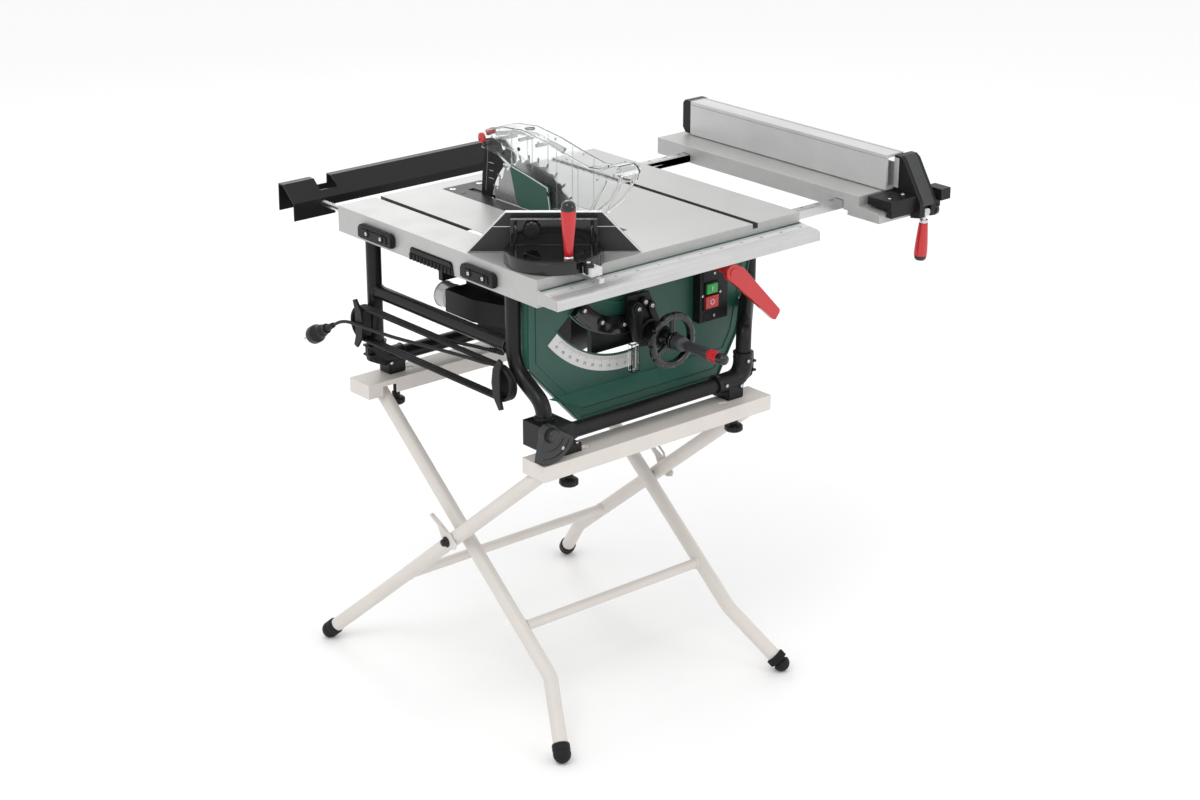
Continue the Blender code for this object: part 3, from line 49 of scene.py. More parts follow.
sheet = bmesh.new()
bmesh.ops.create_grid(sheet, x_segments=24, y_segments=24, size=40)
floor_mesh = bpy.data.meshes.new("studio_floor")
sheet.to_mesh(floor_mesh)
sheet.free()
floor_paint = bpy.data.materials.new("floor_paint")
floor_paint.use_nodes = True
paint = floor_paint.node_tree.nodes["Principled BSDF"]
paint.inputs["Base Color"].default_value = (0.93, 0.93, 0.93, 1)
paint.inputs["Roughness"].default_value = 0.85
paint.inputs["Specular IOR Level"].default_value = 0.15
floor_mesh.materials.append(floor_paint)
studio_floor = bpy.data.objects.new("studio_floor", floor_mesh)
bpy.context.collection.objects.link(studio_floor)

room = bpy.data.worlds.new("bright_room")
room.use_nodes = True
room.node_tree.nodes["Background"].inputs["Color"].default_value = (1.0, 1.0, 1.0, 1)
room.node_tree.nodes["Background"].inputs["Strength"].default_value = 1.02
bpy.context.scene.world = room


def soft_light(name, place, aim, size, power):
    lamp = bpy.data.lights.new(name, "AREA")
    lamp.shape = "DISK"
    lamp.size = size
    lamp.energy = power
    holder = bpy.data.objects.new(name, lamp)
    holder.location = place
    holder.rotation_euler = (Vector(aim) - Vector(place)).to_track_quat("-Z", "Y").to_euler()
    bpy.context.collection.objects.link(holder)


soft_light("key_light", (-2.6, -1.2, 3.6), (0, 0, 0.7), 1.8, 30)
soft_light("front_light", (1.2, -3.8, 1.9), (0, -0.1, 0.6), 1.6, 14)
soft_light("rim_light", (1.5, 3.0, 3.0), (0, 0, 0.8), 1.8, 22)
bpy.context.scene.view_settings.view_transform = "Standard"

lens = bpy.data.cameras.new("long_lens")
lens.sensor_width = 36
lens.lens = 72.29
lens.clip_end = 200
camera = bpy.data.objects.new("camera", lens)
camera.location = (-2.8773, -3.3530, 2.1600)
camera.rotation_euler = (radians(90 - 21.06), 0, radians(-40.43))
bpy.context.collection.objects.link(camera)
bpy.context.scene.camera = camera

# ---- mains cord ----------------------------------------------------------------------------------
# A black two-core rubber cord, 6.6 mm thick. It leaves a moulded gland under the left middle
# tube, goes three times round the two winding hooks and ends in a moulded plug at the back.

BENCH = Vector((-0.1903, -0.0780, 0))        # from the bench the shapes are drawn on to the frame
CORD = 0.0066
STRAND_X = (-0.2412, -0.2479, -0.2546)       # the three turns, side by side on the hooks
HOOK_Y = (-0.149, 0.270)
WOUND_Z = 0.668
WOUND_R = 0.031


def surface(name, colour, rough, metal=0.0, mottle=0.08, mottle_size=0.03, bump=0.15, grain=0.0008,
            stretch=(1, 1, 1), gloss=0.0, sheen_spread=0.12, shine=0.5):
    """A finish with drifting tone, uneven gloss and a fine skin; stretch draws the grain out."""
    material = bpy.data.materials.new(name)
    material.use_nodes = True
    nodes, links = material.node_tree.nodes, material.node_tree.links
    shader = nodes["Principled BSDF"]
    shader.inputs["Metallic"].default_value = metal
    shader.inputs["Specular IOR Level"].default_value = shine
    shader.inputs["Coat Weight"].default_value = gloss
    shader.inputs["Coat Roughness"].default_value = 0.08
    where = nodes.new("ShaderNodeTexCoord")
    drawn = nodes.new("ShaderNodeMapping")
    drawn.inputs["Scale"].default_value = stretch
    links.new(where.outputs["Object"], drawn.inputs["Vector"])
    drift = nodes.new("ShaderNodeTexNoise")
    drift.inputs["Scale"].default_value = 1 / mottle_size
    drift.inputs["Detail"].default_value = 5
    links.new(where.outputs["Object"], drift.inputs["Vector"])
    skin = nodes.new("ShaderNodeTexNoise")
    skin.inputs["Scale"].default_value = 1 / grain
    skin.inputs["Detail"].default_value = 3
    links.new(drawn.outputs["Vector"], skin.inputs["Vector"])
    both = nodes.new("ShaderNodeMath")
    both.operation = "MULTIPLY_ADD"
    both.inputs[1].default_value = 0.45
    links.new(skin.outputs["Fac"], both.inputs[0])
    links.new(drift.outputs["Fac"], both.inputs[2])
    tone = nodes.new("ShaderNodeMapRange")
    tone.inputs["From Min"].default_value = 0.45
    tone.inputs["From Max"].default_value = 1.0
    links.new(both.outputs[0], tone.inputs["Value"])
    mix = nodes.new("ShaderNodeMix")
    mix.data_type = "RGBA"
    mix.inputs["A"].default_value = (*[c * (1 - mottle) for c in colour], 1)
    mix.inputs["B"].default_value = (*[min(1, c * (1 + mottle)) for c in colour], 1)
    links.new(tone.outputs["Result"], mix.inputs["Factor"])
    links.new(mix.outputs["Result"], shader.inputs["Base Color"])
    shine = nodes.new("ShaderNodeMapRange")
    shine.inputs["To Min"].default_value = max(0.02, rough * (1 - sheen_spread))
    shine.inputs["To Max"].default_value = min(1, rough * (1 + sheen_spread))
    links.new(tone.outputs["Result"], shine.inputs["Value"])
    links.new(shine.outputs["Result"], shader.inputs["Roughness"])
    if bump:
        relief = nodes.new("ShaderNodeBump")
        relief.inputs["Strength"].default_value = bump
        relief.inputs["Distance"].default_value = 0.0003
        links.new(skin.outputs["Fac"], relief.inputs["Height"])
        links.new(relief.outputs["Normal"], shader.inputs["Normal"])
    return material


def settle(name, shape, finish, body, drawn=True, sharp=38):
    """Turns a bmesh into a piece that moves with a body; drawn shapes are in bench coordinates."""
    if drawn:
        bmesh.ops.translate(shape, vec=BENCH, verts=shape.verts)
    mesh = bpy.data.meshes.new(name)
    shape.to_mesh(mesh)
    shape.free()
    mesh.materials.append(finish)
    mesh.shade_smooth()
    mesh.set_sharp_from_angle(angle=radians(sharp))
    piece = bpy.data.objects.new(name, mesh)
    bpy.context.collection.objects.link(piece)
    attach(piece, body)
    return piece


def lathe(shape, profile, start, way, sides=32, wobble=None):
    """Adds a solid turned from (radius, height) points about the line from start along way."""
    turn = Vector((0, 0, 1)).rotation_difference(Vector(way)).to_matrix().to_4x4()
    place = Matrix.Translation(start) @ turn
    loops = []
    for radius, height in profile:
        if radius < 1e-6:
            loops.append([shape.verts.new(place @ Vector((0, 0, height)))])
            continue
        ring = []
        for i in range(sides):
            angle = 2 * pi * i / sides
            reach = radius * (wobble(angle, height) if wobble else 1)
            ring.append(shape.verts.new(place @ Vector((reach * cos(angle), reach * sin(angle), height))))
        loops.append(ring)
    made = []
    for first, second in zip(loops, loops[1:]):
        for i in range(sides):
            j = (i + 1) % sides
            if len(first) == 1 and len(second) == 1:
                continue
            if len(first) == 1:
                made.append(shape.faces.new((first[0], second[i], second[j])))
            elif len(second) == 1:
                made.append(shape.faces.new((first[i], second[0], first[j])))
            else:
                made.append(shape.faces.new((first[i], second[i], second[j], first[j])))
    for ring in (loops[0], loops[-1]):
        if len(ring) > 1:
            made.append(shape.faces.new(ring))
    bmesh.ops.recalc_face_normals(shape, faces=made)
    return made


cord_jacket = surface("cord_jacket", (0.0074, 0.0074, 0.0081), 0.48, shine=0.26, mottle=0.2, grain=0.0012,
                      bump=0.25)
moulded_black = surface("moulded_black", (0.0087, 0.0090, 0.0099), 0.40, shine=0.26, mottle=0.16,
                        grain=0.0007, bump=0.35)
bright_steel = surface("bright_steel", (0.62, 0.62, 0.63), 0.26, metal=1.0, mottle=0.07, grain=0.0012,
                       stretch=(1, 1, 0.15), bump=0.12)

mouth = Vector((-0.2290, -0.0890, 0.7078))


def round_end(y, x_start, x_end, from_angle, to_angle, steps=12):
    """Half a turn round a hook, easing over from one strand to the next."""
    points = []
    for i in range(steps + 1):
        t = i / steps
        angle = from_angle + (to_angle - from_angle) * t
        ease = t * t * (3 - 2 * t)
        points.append((x_start + (x_end - x_start) * ease, y + WOUND_R * cos(angle),
                       WOUND_Z + WOUND_R * sin(angle)))
    return points


def straight_run(start, end, steps=10):
    return [tuple(Vector(start).lerp(Vector(end), i / steps)) for i in range(1, steps)]


route = [tuple(mouth), (-0.2330, -0.0780, 0.7078), (-0.2375, -0.0530, 0.7072), (-0.2402, -0.0240, 0.7040),
         (-0.2412, 0.0100, 0.7004), (-0.2412, 0.0500, 0.6990)]
for turn in range(3):
    x = STRAND_X[turn]
    rear = round_end(HOOK_Y[1], x, x, pi / 2, -pi / 2)
    route += straight_run(route[-1], rear[0]) + rear
    following = STRAND_X[turn + 1] if turn < 2 else x
    fore = round_end(HOOK_Y[0], x, following, -pi / 2, -3 * pi / 2)
    route += straight_run(rear[-1], fore[0]) + fore
route += [(-0.2549, -0.1400, 0.6990), (-0.2582, -0.1240, 0.6984), (-0.2613, -0.1060, 0.6974),
          (-0.2618, -0.0800, 0.6958),
          (-0.2622, -0.0200, 0.6905), (-0.2633, 0.0400, 0.6850), (-0.2650, 0.1000, 0.6794),
          (-0.2666, 0.1600, 0.6742),
          (-0.2669, 0.2200, 0.6710), (-0.2669, 0.2700, 0.6684), (-0.2669, 0.3000, 0.6658),
          (-0.2669, 0.3226, 0.6595), (-0.2669, 0.3400, 0.6508)]
plug_start = Vector((-0.2669, 0.3460, 0.6475))
plug_way = Vector((0, 0.8706, -0.4919))
route.append(tuple(plug_start - 0.0006 * plug_way))
flex = bpy.data.curves.new("mains_cord", "CURVE")
flex.dimensions = "3D"
spline = flex.splines.new("POLY")
smooth_route = []
for i in range(len(route) - 1):
    before = Vector(route[max(i - 1, 0)])
    here, ahead = Vector(route[i]), Vector(route[i + 1])
    beyond = Vector(route[min(i + 2, len(route) - 1)])
    for t in (0, 0.25, 0.5, 0.75):
        smooth_route.append(0.5 * (2 * here + (ahead - before) * t
                                   + (2 * before - 5 * here + 4 * ahead - beyond) * t * t
                                   + (3 * here - before - 3 * ahead + beyond) * t ** 3))
smooth_route.append(Vector(route[-1]))
spline.points.add(len(smooth_route) - 1)
for point, spot in zip(spline.points, smooth_route):
    point.co = (*(spot + BENCH), 1)
flex.bevel_depth = CORD / 2
flex.bevel_resolution = 4
flex.use_fill_caps = True
flex.materials.append(cord_jacket)
mains_cord = bpy.data.objects.new("mains_cord", flex)
bpy.context.collection.objects.link(mains_cord)
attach(mains_cord, "chassis")
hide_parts("power_cord_lead", "power_cord_winding", "power_cord_tail")


def sleeve_rings(angle, height):
    return 1.0 + 0.07 * cos(2 * pi * height / 0.0048)


shape = bmesh.new()
sleeve = [(0.0042, 0.0)] + [(0.0050 + 0.0014 * i / 24,
                             0.001 + 0.025 * i / 24) for i in range(25)] + [(0.0066, 0.0275)]
lathe(shape, sleeve, plug_start, plug_way, 24, sleeve_rings)
lathe(shape, [(0.0085, 0.0272), (0.0100, 0.0285), (0.0100, 0.0325), (0.0075, 0.0340), (0.0090, 0.0385),
              (0.0120, 0.0425),
              (0.0125, 0.0470), (0.0098, 0.0500), (0.0105, 0.0560), (0.0150, 0.0610), (0.0176, 0.0640),
              (0.0180, 0.0660),
              (0.0180, 0.0800), (0.0172, 0.0820), (0.0, 0.0820)], plug_start, plug_way, 40)
plug_body = settle("plug_body", shape, moulded_black, "chassis")
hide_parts("power_plug")
shape = bmesh.new()
for side in (-1, 1):
    root = plug_start + 0.0815 * plug_way + Vector((side * 0.0095, 0, 0))
    lathe(shape, [(0.0024, 0), (0.0024, 0.0180), (0.0018, 0.0195), (0.0, 0.0198)], root, plug_way, 16)
plug_pins = settle("plug_pins", shape, bright_steel, "chassis")

gland_start = Vector((-0.2192, -0.1150, 0.7078))
gland_way = (mouth - gland_start).normalized()
gland_long = (mouth - gland_start).length
shape = bmesh.new()
lathe(shape, [(0.0058, 0), (0.0058, 0.009), (0.0052, 0.010)]
      + [(0.0054 - 0.0012 * (i % 2) - 0.0006 * i / 8,
          0.010 + (gland_long - 0.0105) * i / 8) for i in range(9)],
      gland_start, gland_way, 24)
gland = settle("strain_relief", shape, moulded_black, "chassis")
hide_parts("cord_gland")

# ---- stand: beams --------------------------------------------------------------------------------
# Two pressed steel channels with closed ends, powder coated in light greige. Each has two oval
# holes through its top, beside the blocks of the saw, and notches below for the hinged legs.


def node_copy(node, edge, segments=2, angle=28, holes=()):
    """A copy of a CAD solid with its seams merged, its holes cut and its edges eased by edge."""
    shape = bmesh.new()
    shape.from_mesh(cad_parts[node].data)
    bmesh.ops.remove_doubles(shape, verts=shape.verts, dist=0.00002)
    bmesh.ops.dissolve_limit(shape, angle_limit=radians(0.6), use_dissolve_boundaries=False,
                             verts=shape.verts, edges=shape.edges)
    mesh = bpy.data.meshes.new(node + "_eased")
    shape.to_mesh(mesh)
    shape.free()
    piece = bpy.data.objects.new(node + "_eased", mesh)
    bpy.context.collection.objects.link(piece)
    cutters = []
    for hole in holes:
        bmesh.ops.translate(hole, vec=BENCH, verts=hole.verts)
        cutter_mesh = bpy.data.meshes.new("cutter")
        hole.to_mesh(cutter_mesh)
        hole.free()
        cutter = bpy.data.objects.new("cutter", cutter_mesh)
        bpy.context.collection.objects.link(cutter)
        cutters.append(cutter)
        drill = piece.modifiers.new("hole", "BOOLEAN")
        drill.operation, drill.object, drill.solver = "DIFFERENCE", cutter, "EXACT"
    if edge:
        ease = piece.modifiers.new("eased_edges", "BEVEL")
        ease.width, ease.segments = edge, segments
        ease.limit_method, ease.angle_limit = "ANGLE", radians(angle)
        ease.use_clamp_overlap = True
        ease.harden_normals = False
    plain = bpy.data.meshes.new_from_object(piece.evaluated_get(bpy.context.evaluated_depsgraph_get()))
    for old in [piece] + cutters:
        bpy.data.objects.remove(old)
    eased = bmesh.new()
    eased.from_mesh(plain)
    bpy.data.meshes.remove(plain)
    return eased


def refit(node, name, finish, body, edge=0.0008, segments=2, angle=28, holes=(), sharp=40):
    """Replaces a CAD solid with its eased and finished copy."""
    piece = settle(name, node_copy(node, edge, segments, angle, holes), finish, body, drawn=False,
                   sharp=sharp)
    weighted = piece.modifiers.new("flat_faces", "WEIGHTED_NORMAL")
    weighted.keep_sharp = True
    weighted.weight = 90
    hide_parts(node)
    return piece


def slab(shape, outline, axis, low, high, edge=0.0, segments=2):
    """Adds an extruded outline of (a, b) points; a and b are the other two axes in order."""
    order = {"x": (2, 0, 1), "y": (0, 2, 1), "z": (0, 1, 2)}[axis]
    rings = [[shape.verts.new([(a, b, level)[i] for i in order]) for a, b in outline] for level in (low,
                                                                                                    high)]
    made = [shape.faces.new(rings[0]), shape.faces.new(rings[1])]
    count = len(outline)
    for i in range(count):
        j = (i + 1) % count
        made.append(shape.faces.new((rings[0][i], rings[0][j], rings[1][j], rings[1][i])))
    bmesh.ops.recalc_face_normals(shape, faces=made)
    if edge:
        edges = list({e for f in made for e in f.edges if e.calc_face_angle(0) > radians(25)})
        bmesh.ops.bevel(shape, geom=edges, offset=edge, segments=segments, affect="EDGES", clamp_overlap=True)


def block(shape, low, high, edge=0.0, segments=2):
    slab(shape, [(low[0], low[1]), (high[0], low[1]), (high[0], high[1]), (low[0], high[1])], "z", low[2],
         high[2],
         edge, segments)


def oval(centre, long, wide, steps=10):
    """A slot outline, long in the first axis."""
    half = (long - wide) / 2
    points = [(centre[0] + half + wide / 2 * cos(a), centre[1] + wide / 2 * sin(a))
              for a in [-pi / 2 + pi * i / steps for i in range(steps + 1)]]
    return points + [(centre[0] - half + wide / 2 * cos(a), centre[1] + wide / 2 * sin(a))
                     for a in [pi / 2 + pi * i / steps for i in range(steps + 1)]]


greige_coat = surface("greige_powder_coat", (0.64, 0.60, 0.565), 0.42, mottle=0.035, mottle_size=0.05,
                      grain=0.0011, bump=0.22)
BEAM_TOP = 0.5573
beam_holes = {"front": ((-0.1567, -0.264), (0.1721, -0.2685)), "rear": ((-0.1530, 0.262), (0.1540, 0.262))}
for end, spots in beam_holes.items():
    cutters = []
    for spot in spots:
        cutter = bmesh.new()
        slab(cutter, oval(spot, 0.019, 0.0135), "z", BEAM_TOP - 0.010, BEAM_TOP + 0.010)
        cutters.append(cutter)
    refit("stand_beam_" + end, "beam_" + end, greige_coat, "chassis", edge=0.0018,
          segments=3, holes=cutters)

# ---- stand: legs ---------------------------------------------------------------------------------
# Two frames of 27 mm round tube, bent at the knee and joined by a 19 mm cross tube, hinged in
# the beams and crossing on black bolts. Greige coat, with the weld bead left at each joint.

LEG_R = 0.0135
HINGE_Z = 0.530
KNEE_Y, KNEE_Z = 0.2426, 0.117
FOOT_R = 0.0165
FOOT_SPLAY = 0.052
LEGS = {"front": (0.222, 0.262, -1, -0.338), "rear": (0.253, -0.262, 1, 0.3457)}
CROSSING_Z = HINGE_Z - (HINGE_Z - KNEE_Z) * 0.262 / (0.262 + KNEE_Y)


def bent_path(points, radius, steps=10):
    """The polyline with each corner eased into a bend of about the given radius."""
    points = [Vector(p) for p in points]
    path = [points[0]]
    for before, corner, after in zip(points, points[1:], points[2:]):
        back, ahead = (before - corner).normalized(), (after - corner).normalized()
        half = back.angle(ahead) / 2
        room_back = (0.95 if before == points[0] else 0.48) * (before - corner).length
        room_ahead = (0.95 if after == points[-1] else 0.48) * (after - corner).length
        reach = min(radius * cos(half) / max(1e-6, sin(half)) if radius < 1 else 1, room_back, room_ahead)
        first, last = corner + back * reach, corner + ahead * reach
        for i in range(steps + 1):
            t = i / steps
            path.append((1 - t) ** 2 * first + 2 * t * (1 - t) * corner + t * t * last)
    path.append(points[-1])
    return path


def pipe(shape, path, radius, sides=28, ends=0.0):
    """Adds a round tube along the path; radius may be a number or one number for each point."""
    path = [Vector(p) for p in path]
    sizes = radius if isinstance(radius, (list, tuple)) else [radius] * len(path)
    if ends:
        first = path[0] + (path[1] - path[0]).normalized() * ends
        last = path[-1] + (path[-2] - path[-1]).normalized() * ends
        path = [path[0], first] + path[1:-1] + [last, path[-1]]
        sizes = [sizes[0] - ends, sizes[0]] + list(sizes[1:-1]) + [sizes[-1], sizes[-1] - ends]
    tangent = (path[1] - path[0]).normalized()
    side = tangent.orthogonal().normalized()
    loops = []
    for i, point in enumerate(path):
        before = (point - path[i - 1]).normalized() if i else tangent
        after = (path[i + 1] - point).normalized() if i < len(path) - 1 else before
        heading = (before + after).normalized()
        side = (tangent.rotation_difference(heading) @ side).normalized()
        tangent = heading
        other = tangent.cross(side)
        turns = [2 * pi * k / sides for k in range(sides)]
        loops.append([shape.verts.new(point + sizes[i] * (cos(a) * side + sin(a) * other)) for a in turns])
    made = [shape.faces.new(loops[0]), shape.faces.new(loops[-1])]
    for first, second in zip(loops, loops[1:]):
        for i in range(sides):
            j = (i + 1) % sides
            made.append(shape.faces.new((first[i], first[j], second[j], second[i])))
    bmesh.ops.recalc_face_normals(shape, faces=made)


def leg_points(end, side):
    leg_x, hinge_y, toward, foot_y = LEGS[end]
    foot = Vector((side * (leg_x + FOOT_SPLAY), foot_y, FOOT_R))
    knee = Vector((side * leg_x, toward * KNEE_Y, KNEE_Z))
    top = Vector((side * leg_x, hinge_y, HINGE_Z))
    return foot, knee, top + (top - knee).normalized() * 0.006


for end in ("front", "rear"):
    leg_x, hinge_y, toward, foot_y = LEGS[end]
    shape = bmesh.new()
    for side in (-1, 1):
        foot, knee, top = leg_points(end, side)
        pipe(shape, bent_path([top, knee, foot + (knee - foot).normalized() * 0.020], 0.06, 14), LEG_R, 30)
    bar_y = toward * 0.1600
    slope = (HINGE_Z - KNEE_Z) / (abs(hinge_y) + KNEE_Y)
    bar_z = HINGE_Z - slope * abs(bar_y - hinge_y)
    pipe(shape, [(-leg_x, bar_y, bar_z), (leg_x, bar_y, bar_z)], 0.0095, 26)
    for side in (-1, 1):
        start = Vector((side * (leg_x - LEG_R - 0.0030), bar_y, bar_z))
        lathe(shape, [(0.0095, 0), (0.0112, 0.0012), (0.0118, 0.0030), (0.0116, 0.0060)], start,
              (side, 0, 0), 26,
              lambda angle, height: 1 + 0.02 * sin(9 * angle))
    legs = settle("legs_" + end, shape, greige_coat, end + "_legs", sharp=50)
    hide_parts("leg_frame_" + end)

# ---- stand: bolts, latches, knobs and feet -------------------------------------------------------
# Hinge and crossing bolts with domed heads, pressed latch plates at the crossings, ribbed black
# knobs under the beams, rubber caps on three feet and a ribbed screw foot on the fourth.

black_zinc = surface("black_zinc", (0.02, 0.02, 0.021), 0.3, metal=0.6, mottle=0.2, grain=0.001, bump=0.15)
foot_rubber = surface("foot_rubber", (0.0081, 0.0081, 0.0081), 0.62, shine=0.26, mottle=0.22, grain=0.0009,
                      bump=0.4)

shape = bmesh.new()
for side in (-1, 1):
    face = side * (0.253 + LEG_R)
    inner = side * (0.222 + LEG_R - 0.001)
    lathe(shape, [(0.0045, 0), (0.0045, abs(face - inner) - 0.030)], (inner, 0, CROSSING_Z), (side, 0, 0), 20)
for x in (-0.253, 0.253):
    lathe(shape, [(0.0040, 0), (0.0040, 0.0290)], (x - 0.0145, -0.262, HINGE_Z), (1, 0, 0), 16)
settle("crossing_bolts", shape, black_zinc, "rear_legs")

for hand, side in (("left", -1), ("right", 1)):
    refit("crossing_latch_" + hand, "latch_plate_" + hand, greige_coat, hand + "_latch",
          edge=0.0008)
    outer = side * (0.253 + LEG_R + 0.0006 + 0.003)
    shape = bmesh.new()
    lathe(shape, [(0.0105, 0), (0.0105, 0.0015), (0.0075, 0.0045), (0.0070, 0.0090), (0.0050, 0.0105),
                  (0, 0.0108)],
          (outer - side * 0.0002, 0, CROSSING_Z), (side, 0, 0), 28)
    settle("latch_boss_" + hand, shape, black_zinc, hand + "_latch")
    shape = bmesh.new()
    curl = [(outer - side * 0.001, -0.006, CROSSING_Z + 0.015),
            (outer + side * 0.006, 0.008, CROSSING_Z + 0.030),
            (outer + side * 0.008, 0.026, CROSSING_Z + 0.040),
            (outer + side * 0.002, 0.044, CROSSING_Z + 0.044),
            (outer - side * 0.001, 0.046, CROSSING_Z + 0.036)]
    pipe(shape, bent_path(curl, 0.012, 6), 0.0022, 14, ends=0.0008)
    settle("latch_horn_" + hand, shape, greige_coat, hand + "_latch")

KNOB_X = {"front": (-0.1920, 0.2070), "rear": (-0.1870, 0.1890)}
for end, y in (("front", -0.262), ("rear", 0.262)):
    for hand, x in zip(("left", "right"), KNOB_X[end]):
        shape = bmesh.new()
        lathe(shape, [(0, 0), (0.0110, 0), (0.0145, 0.0010), (0.0172, 0.0035), (0.0175, 0.0075),
                      (0.0170, 0.0112),
                      (0.0135, 0.0138), (0.0088, 0.0142), (0.0080, 0.0150), (0.0080, 0.0240),
                      (0.0052, 0.0242),
                      (0.0050, 0.0600), (0, 0.0602)], (x, y, 0.493), (0, 0, 1), 72,
              lambda angle, height: 1 - (0.10 * max(0,
                                                    cos(9 * angle)) ** 3 if 0.001 < height < 0.0120 else 0))
        knob = settle("knob_%s_%s" % (end, hand), shape, moulded_black, "%s_%s_knob" % (end, hand))
        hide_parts("stand_knob_%s_%s" % (end, hand))

for name, end, side, node, body in (("foot_front_left", "front", -1, "foot_cap_front_left", "front_legs"),
                                    ("foot_rear_left", "rear", -1, "foot_cap_rear_left", "rear_legs"),
                                    ("foot_rear_right", "rear", 1, "foot_cap_rear_right", "rear_legs")):
    foot, knee, top = leg_points(end, side)
    shape = bmesh.new()
    cap = [(0, -FOOT_R)] + [(FOOT_R * sin(a), -FOOT_R * cos(a)) for a in [pi / 2 * i / 10 for i in range(1,
                                                                                                         11)]]
    cap += [(FOOT_R, 0.0030), (FOOT_R - 0.0007, 0.0042), (FOOT_R - 0.0007, 0.0050), (FOOT_R, 0.0060),
            (FOOT_R, 0.0170),
            (FOOT_R - 0.0008, 0.0192), (FOOT_R - 0.0022, 0.0197)]
    lathe(shape, cap, foot, knee - foot, 36)
    rubber_cap = settle(name, shape, foot_rubber, body)
    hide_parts(node)
foot, knee, top = leg_points("front", 1)
shape = bmesh.new()
lathe(shape, [(0, -FOOT_R)] + [(FOOT_R * sin(a),
                                -FOOT_R * cos(a)) for a in [pi / 2 * i / 10 for i in range(1, 11)]]
      + [(FOOT_R * 0.80, 0.0035), (FOOT_R * 0.80, 0.0050), (0.0176, 0.0056), (0.0185, 0.0068),
         (0.0185, 0.0180),
         (0.0178, 0.0194), (0.0140, 0.0196)], foot, knee - foot, 96,
      lambda angle, height: 1 - (0.075 * (0.5 + 0.5 * cos(24 * angle)) if height > 0.0052 else 0))
screw_foot = settle("screw_foot", shape, foot_rubber, "adjustable_foot")
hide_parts("levelling_foot_front_right")

# ---- tube frame of the saw -----------------------------------------------------------------------
# Satin black powder-coated tube: a bent frame on each side, two lower tubes, and three cast
# elbows that stand on the stand's beams. The elbows are screwed through their halves.

TUBE_R = 0.0145
UNDER_PLATE = 0.8665
LEFT_X, RIGHT_X, RIGHT_BASE_X = -0.2225, 0.345, 0.239
FRONT_Y, UPRIGHT_Y, REAR_Y = -0.250, -0.149, 0.270
LOWER_Z = 0.589
black_powder = surface("black_powder_coat", (0.0071, 0.0073, 0.0077), 0.30, shine=0.26, mottle=0.12,
                       mottle_size=0.04, grain=0.0012,
                       bump=0.25)
cast_black = surface("cast_black", (0.0081, 0.0084, 0.0090), 0.36, shine=0.26, mottle=0.2,
                     mottle_size=0.012, grain=0.0009, bump=0.5)

shape = bmesh.new()
pipe(shape, bent_path([(LEFT_X, UPRIGHT_Y, UNDER_PLATE), (LEFT_X, UPRIGHT_Y, 0.690),
                       (LEFT_X, FRONT_Y + 0.018, 0.643),
                       (LEFT_X, FRONT_Y + 0.018, 0.6155)], 0.070), TUBE_R, 30)
pipe(shape, [(LEFT_X, REAR_Y, UNDER_PLATE), (LEFT_X, REAR_Y, 0.6283)], TUBE_R, 30)
pipe(shape, [(LEFT_X, UPRIGHT_Y, 0.727), (LEFT_X, REAR_Y, 0.727)], 0.0130, 28)
for y, way in ((UPRIGHT_Y + TUBE_R, 1), (REAR_Y - TUBE_R, -1)):
    lathe(shape, [(0.0152, -0.003), (0.0148, 0.0005), (0.0131, 0.0030)], (LEFT_X, y, 0.727), (0, way, 0), 28,
          lambda angle, height: 1 + 0.015 * sin(13 * angle))
frame_left = settle("frame_left", shape, black_powder, "chassis", sharp=50)
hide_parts("side_frame_left")

shape = bmesh.new()
for y, base_y in ((UPRIGHT_Y, FRONT_Y), (REAR_Y, REAR_Y)):
    pipe(shape, bent_path([(RIGHT_X, y, UNDER_PLATE), (RIGHT_X, y, 0.725), (RIGHT_BASE_X, base_y, 0.683),
                           (RIGHT_BASE_X, base_y, 0.6403)], 0.040), TUBE_R, 30)
pipe(shape, [(RIGHT_X, UPRIGHT_Y, 0.760), (RIGHT_X, REAR_Y, 0.760)], 0.0130, 28)
frame_right = settle("frame_right", shape, black_powder, "chassis", sharp=50)
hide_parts("side_frame_right")

for end, y, start in (("front", FRONT_Y, -0.1897), ("rear", REAR_Y, -0.1647)):
    shape = bmesh.new()
    pipe(shape, [(start, y, LOWER_Z), (0.1657, y, LOWER_Z)], TUBE_R, 30)
    lower = settle("tube_lower_" + end, shape, black_powder, "chassis", sharp=50)
    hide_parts("lower_tube_" + end)


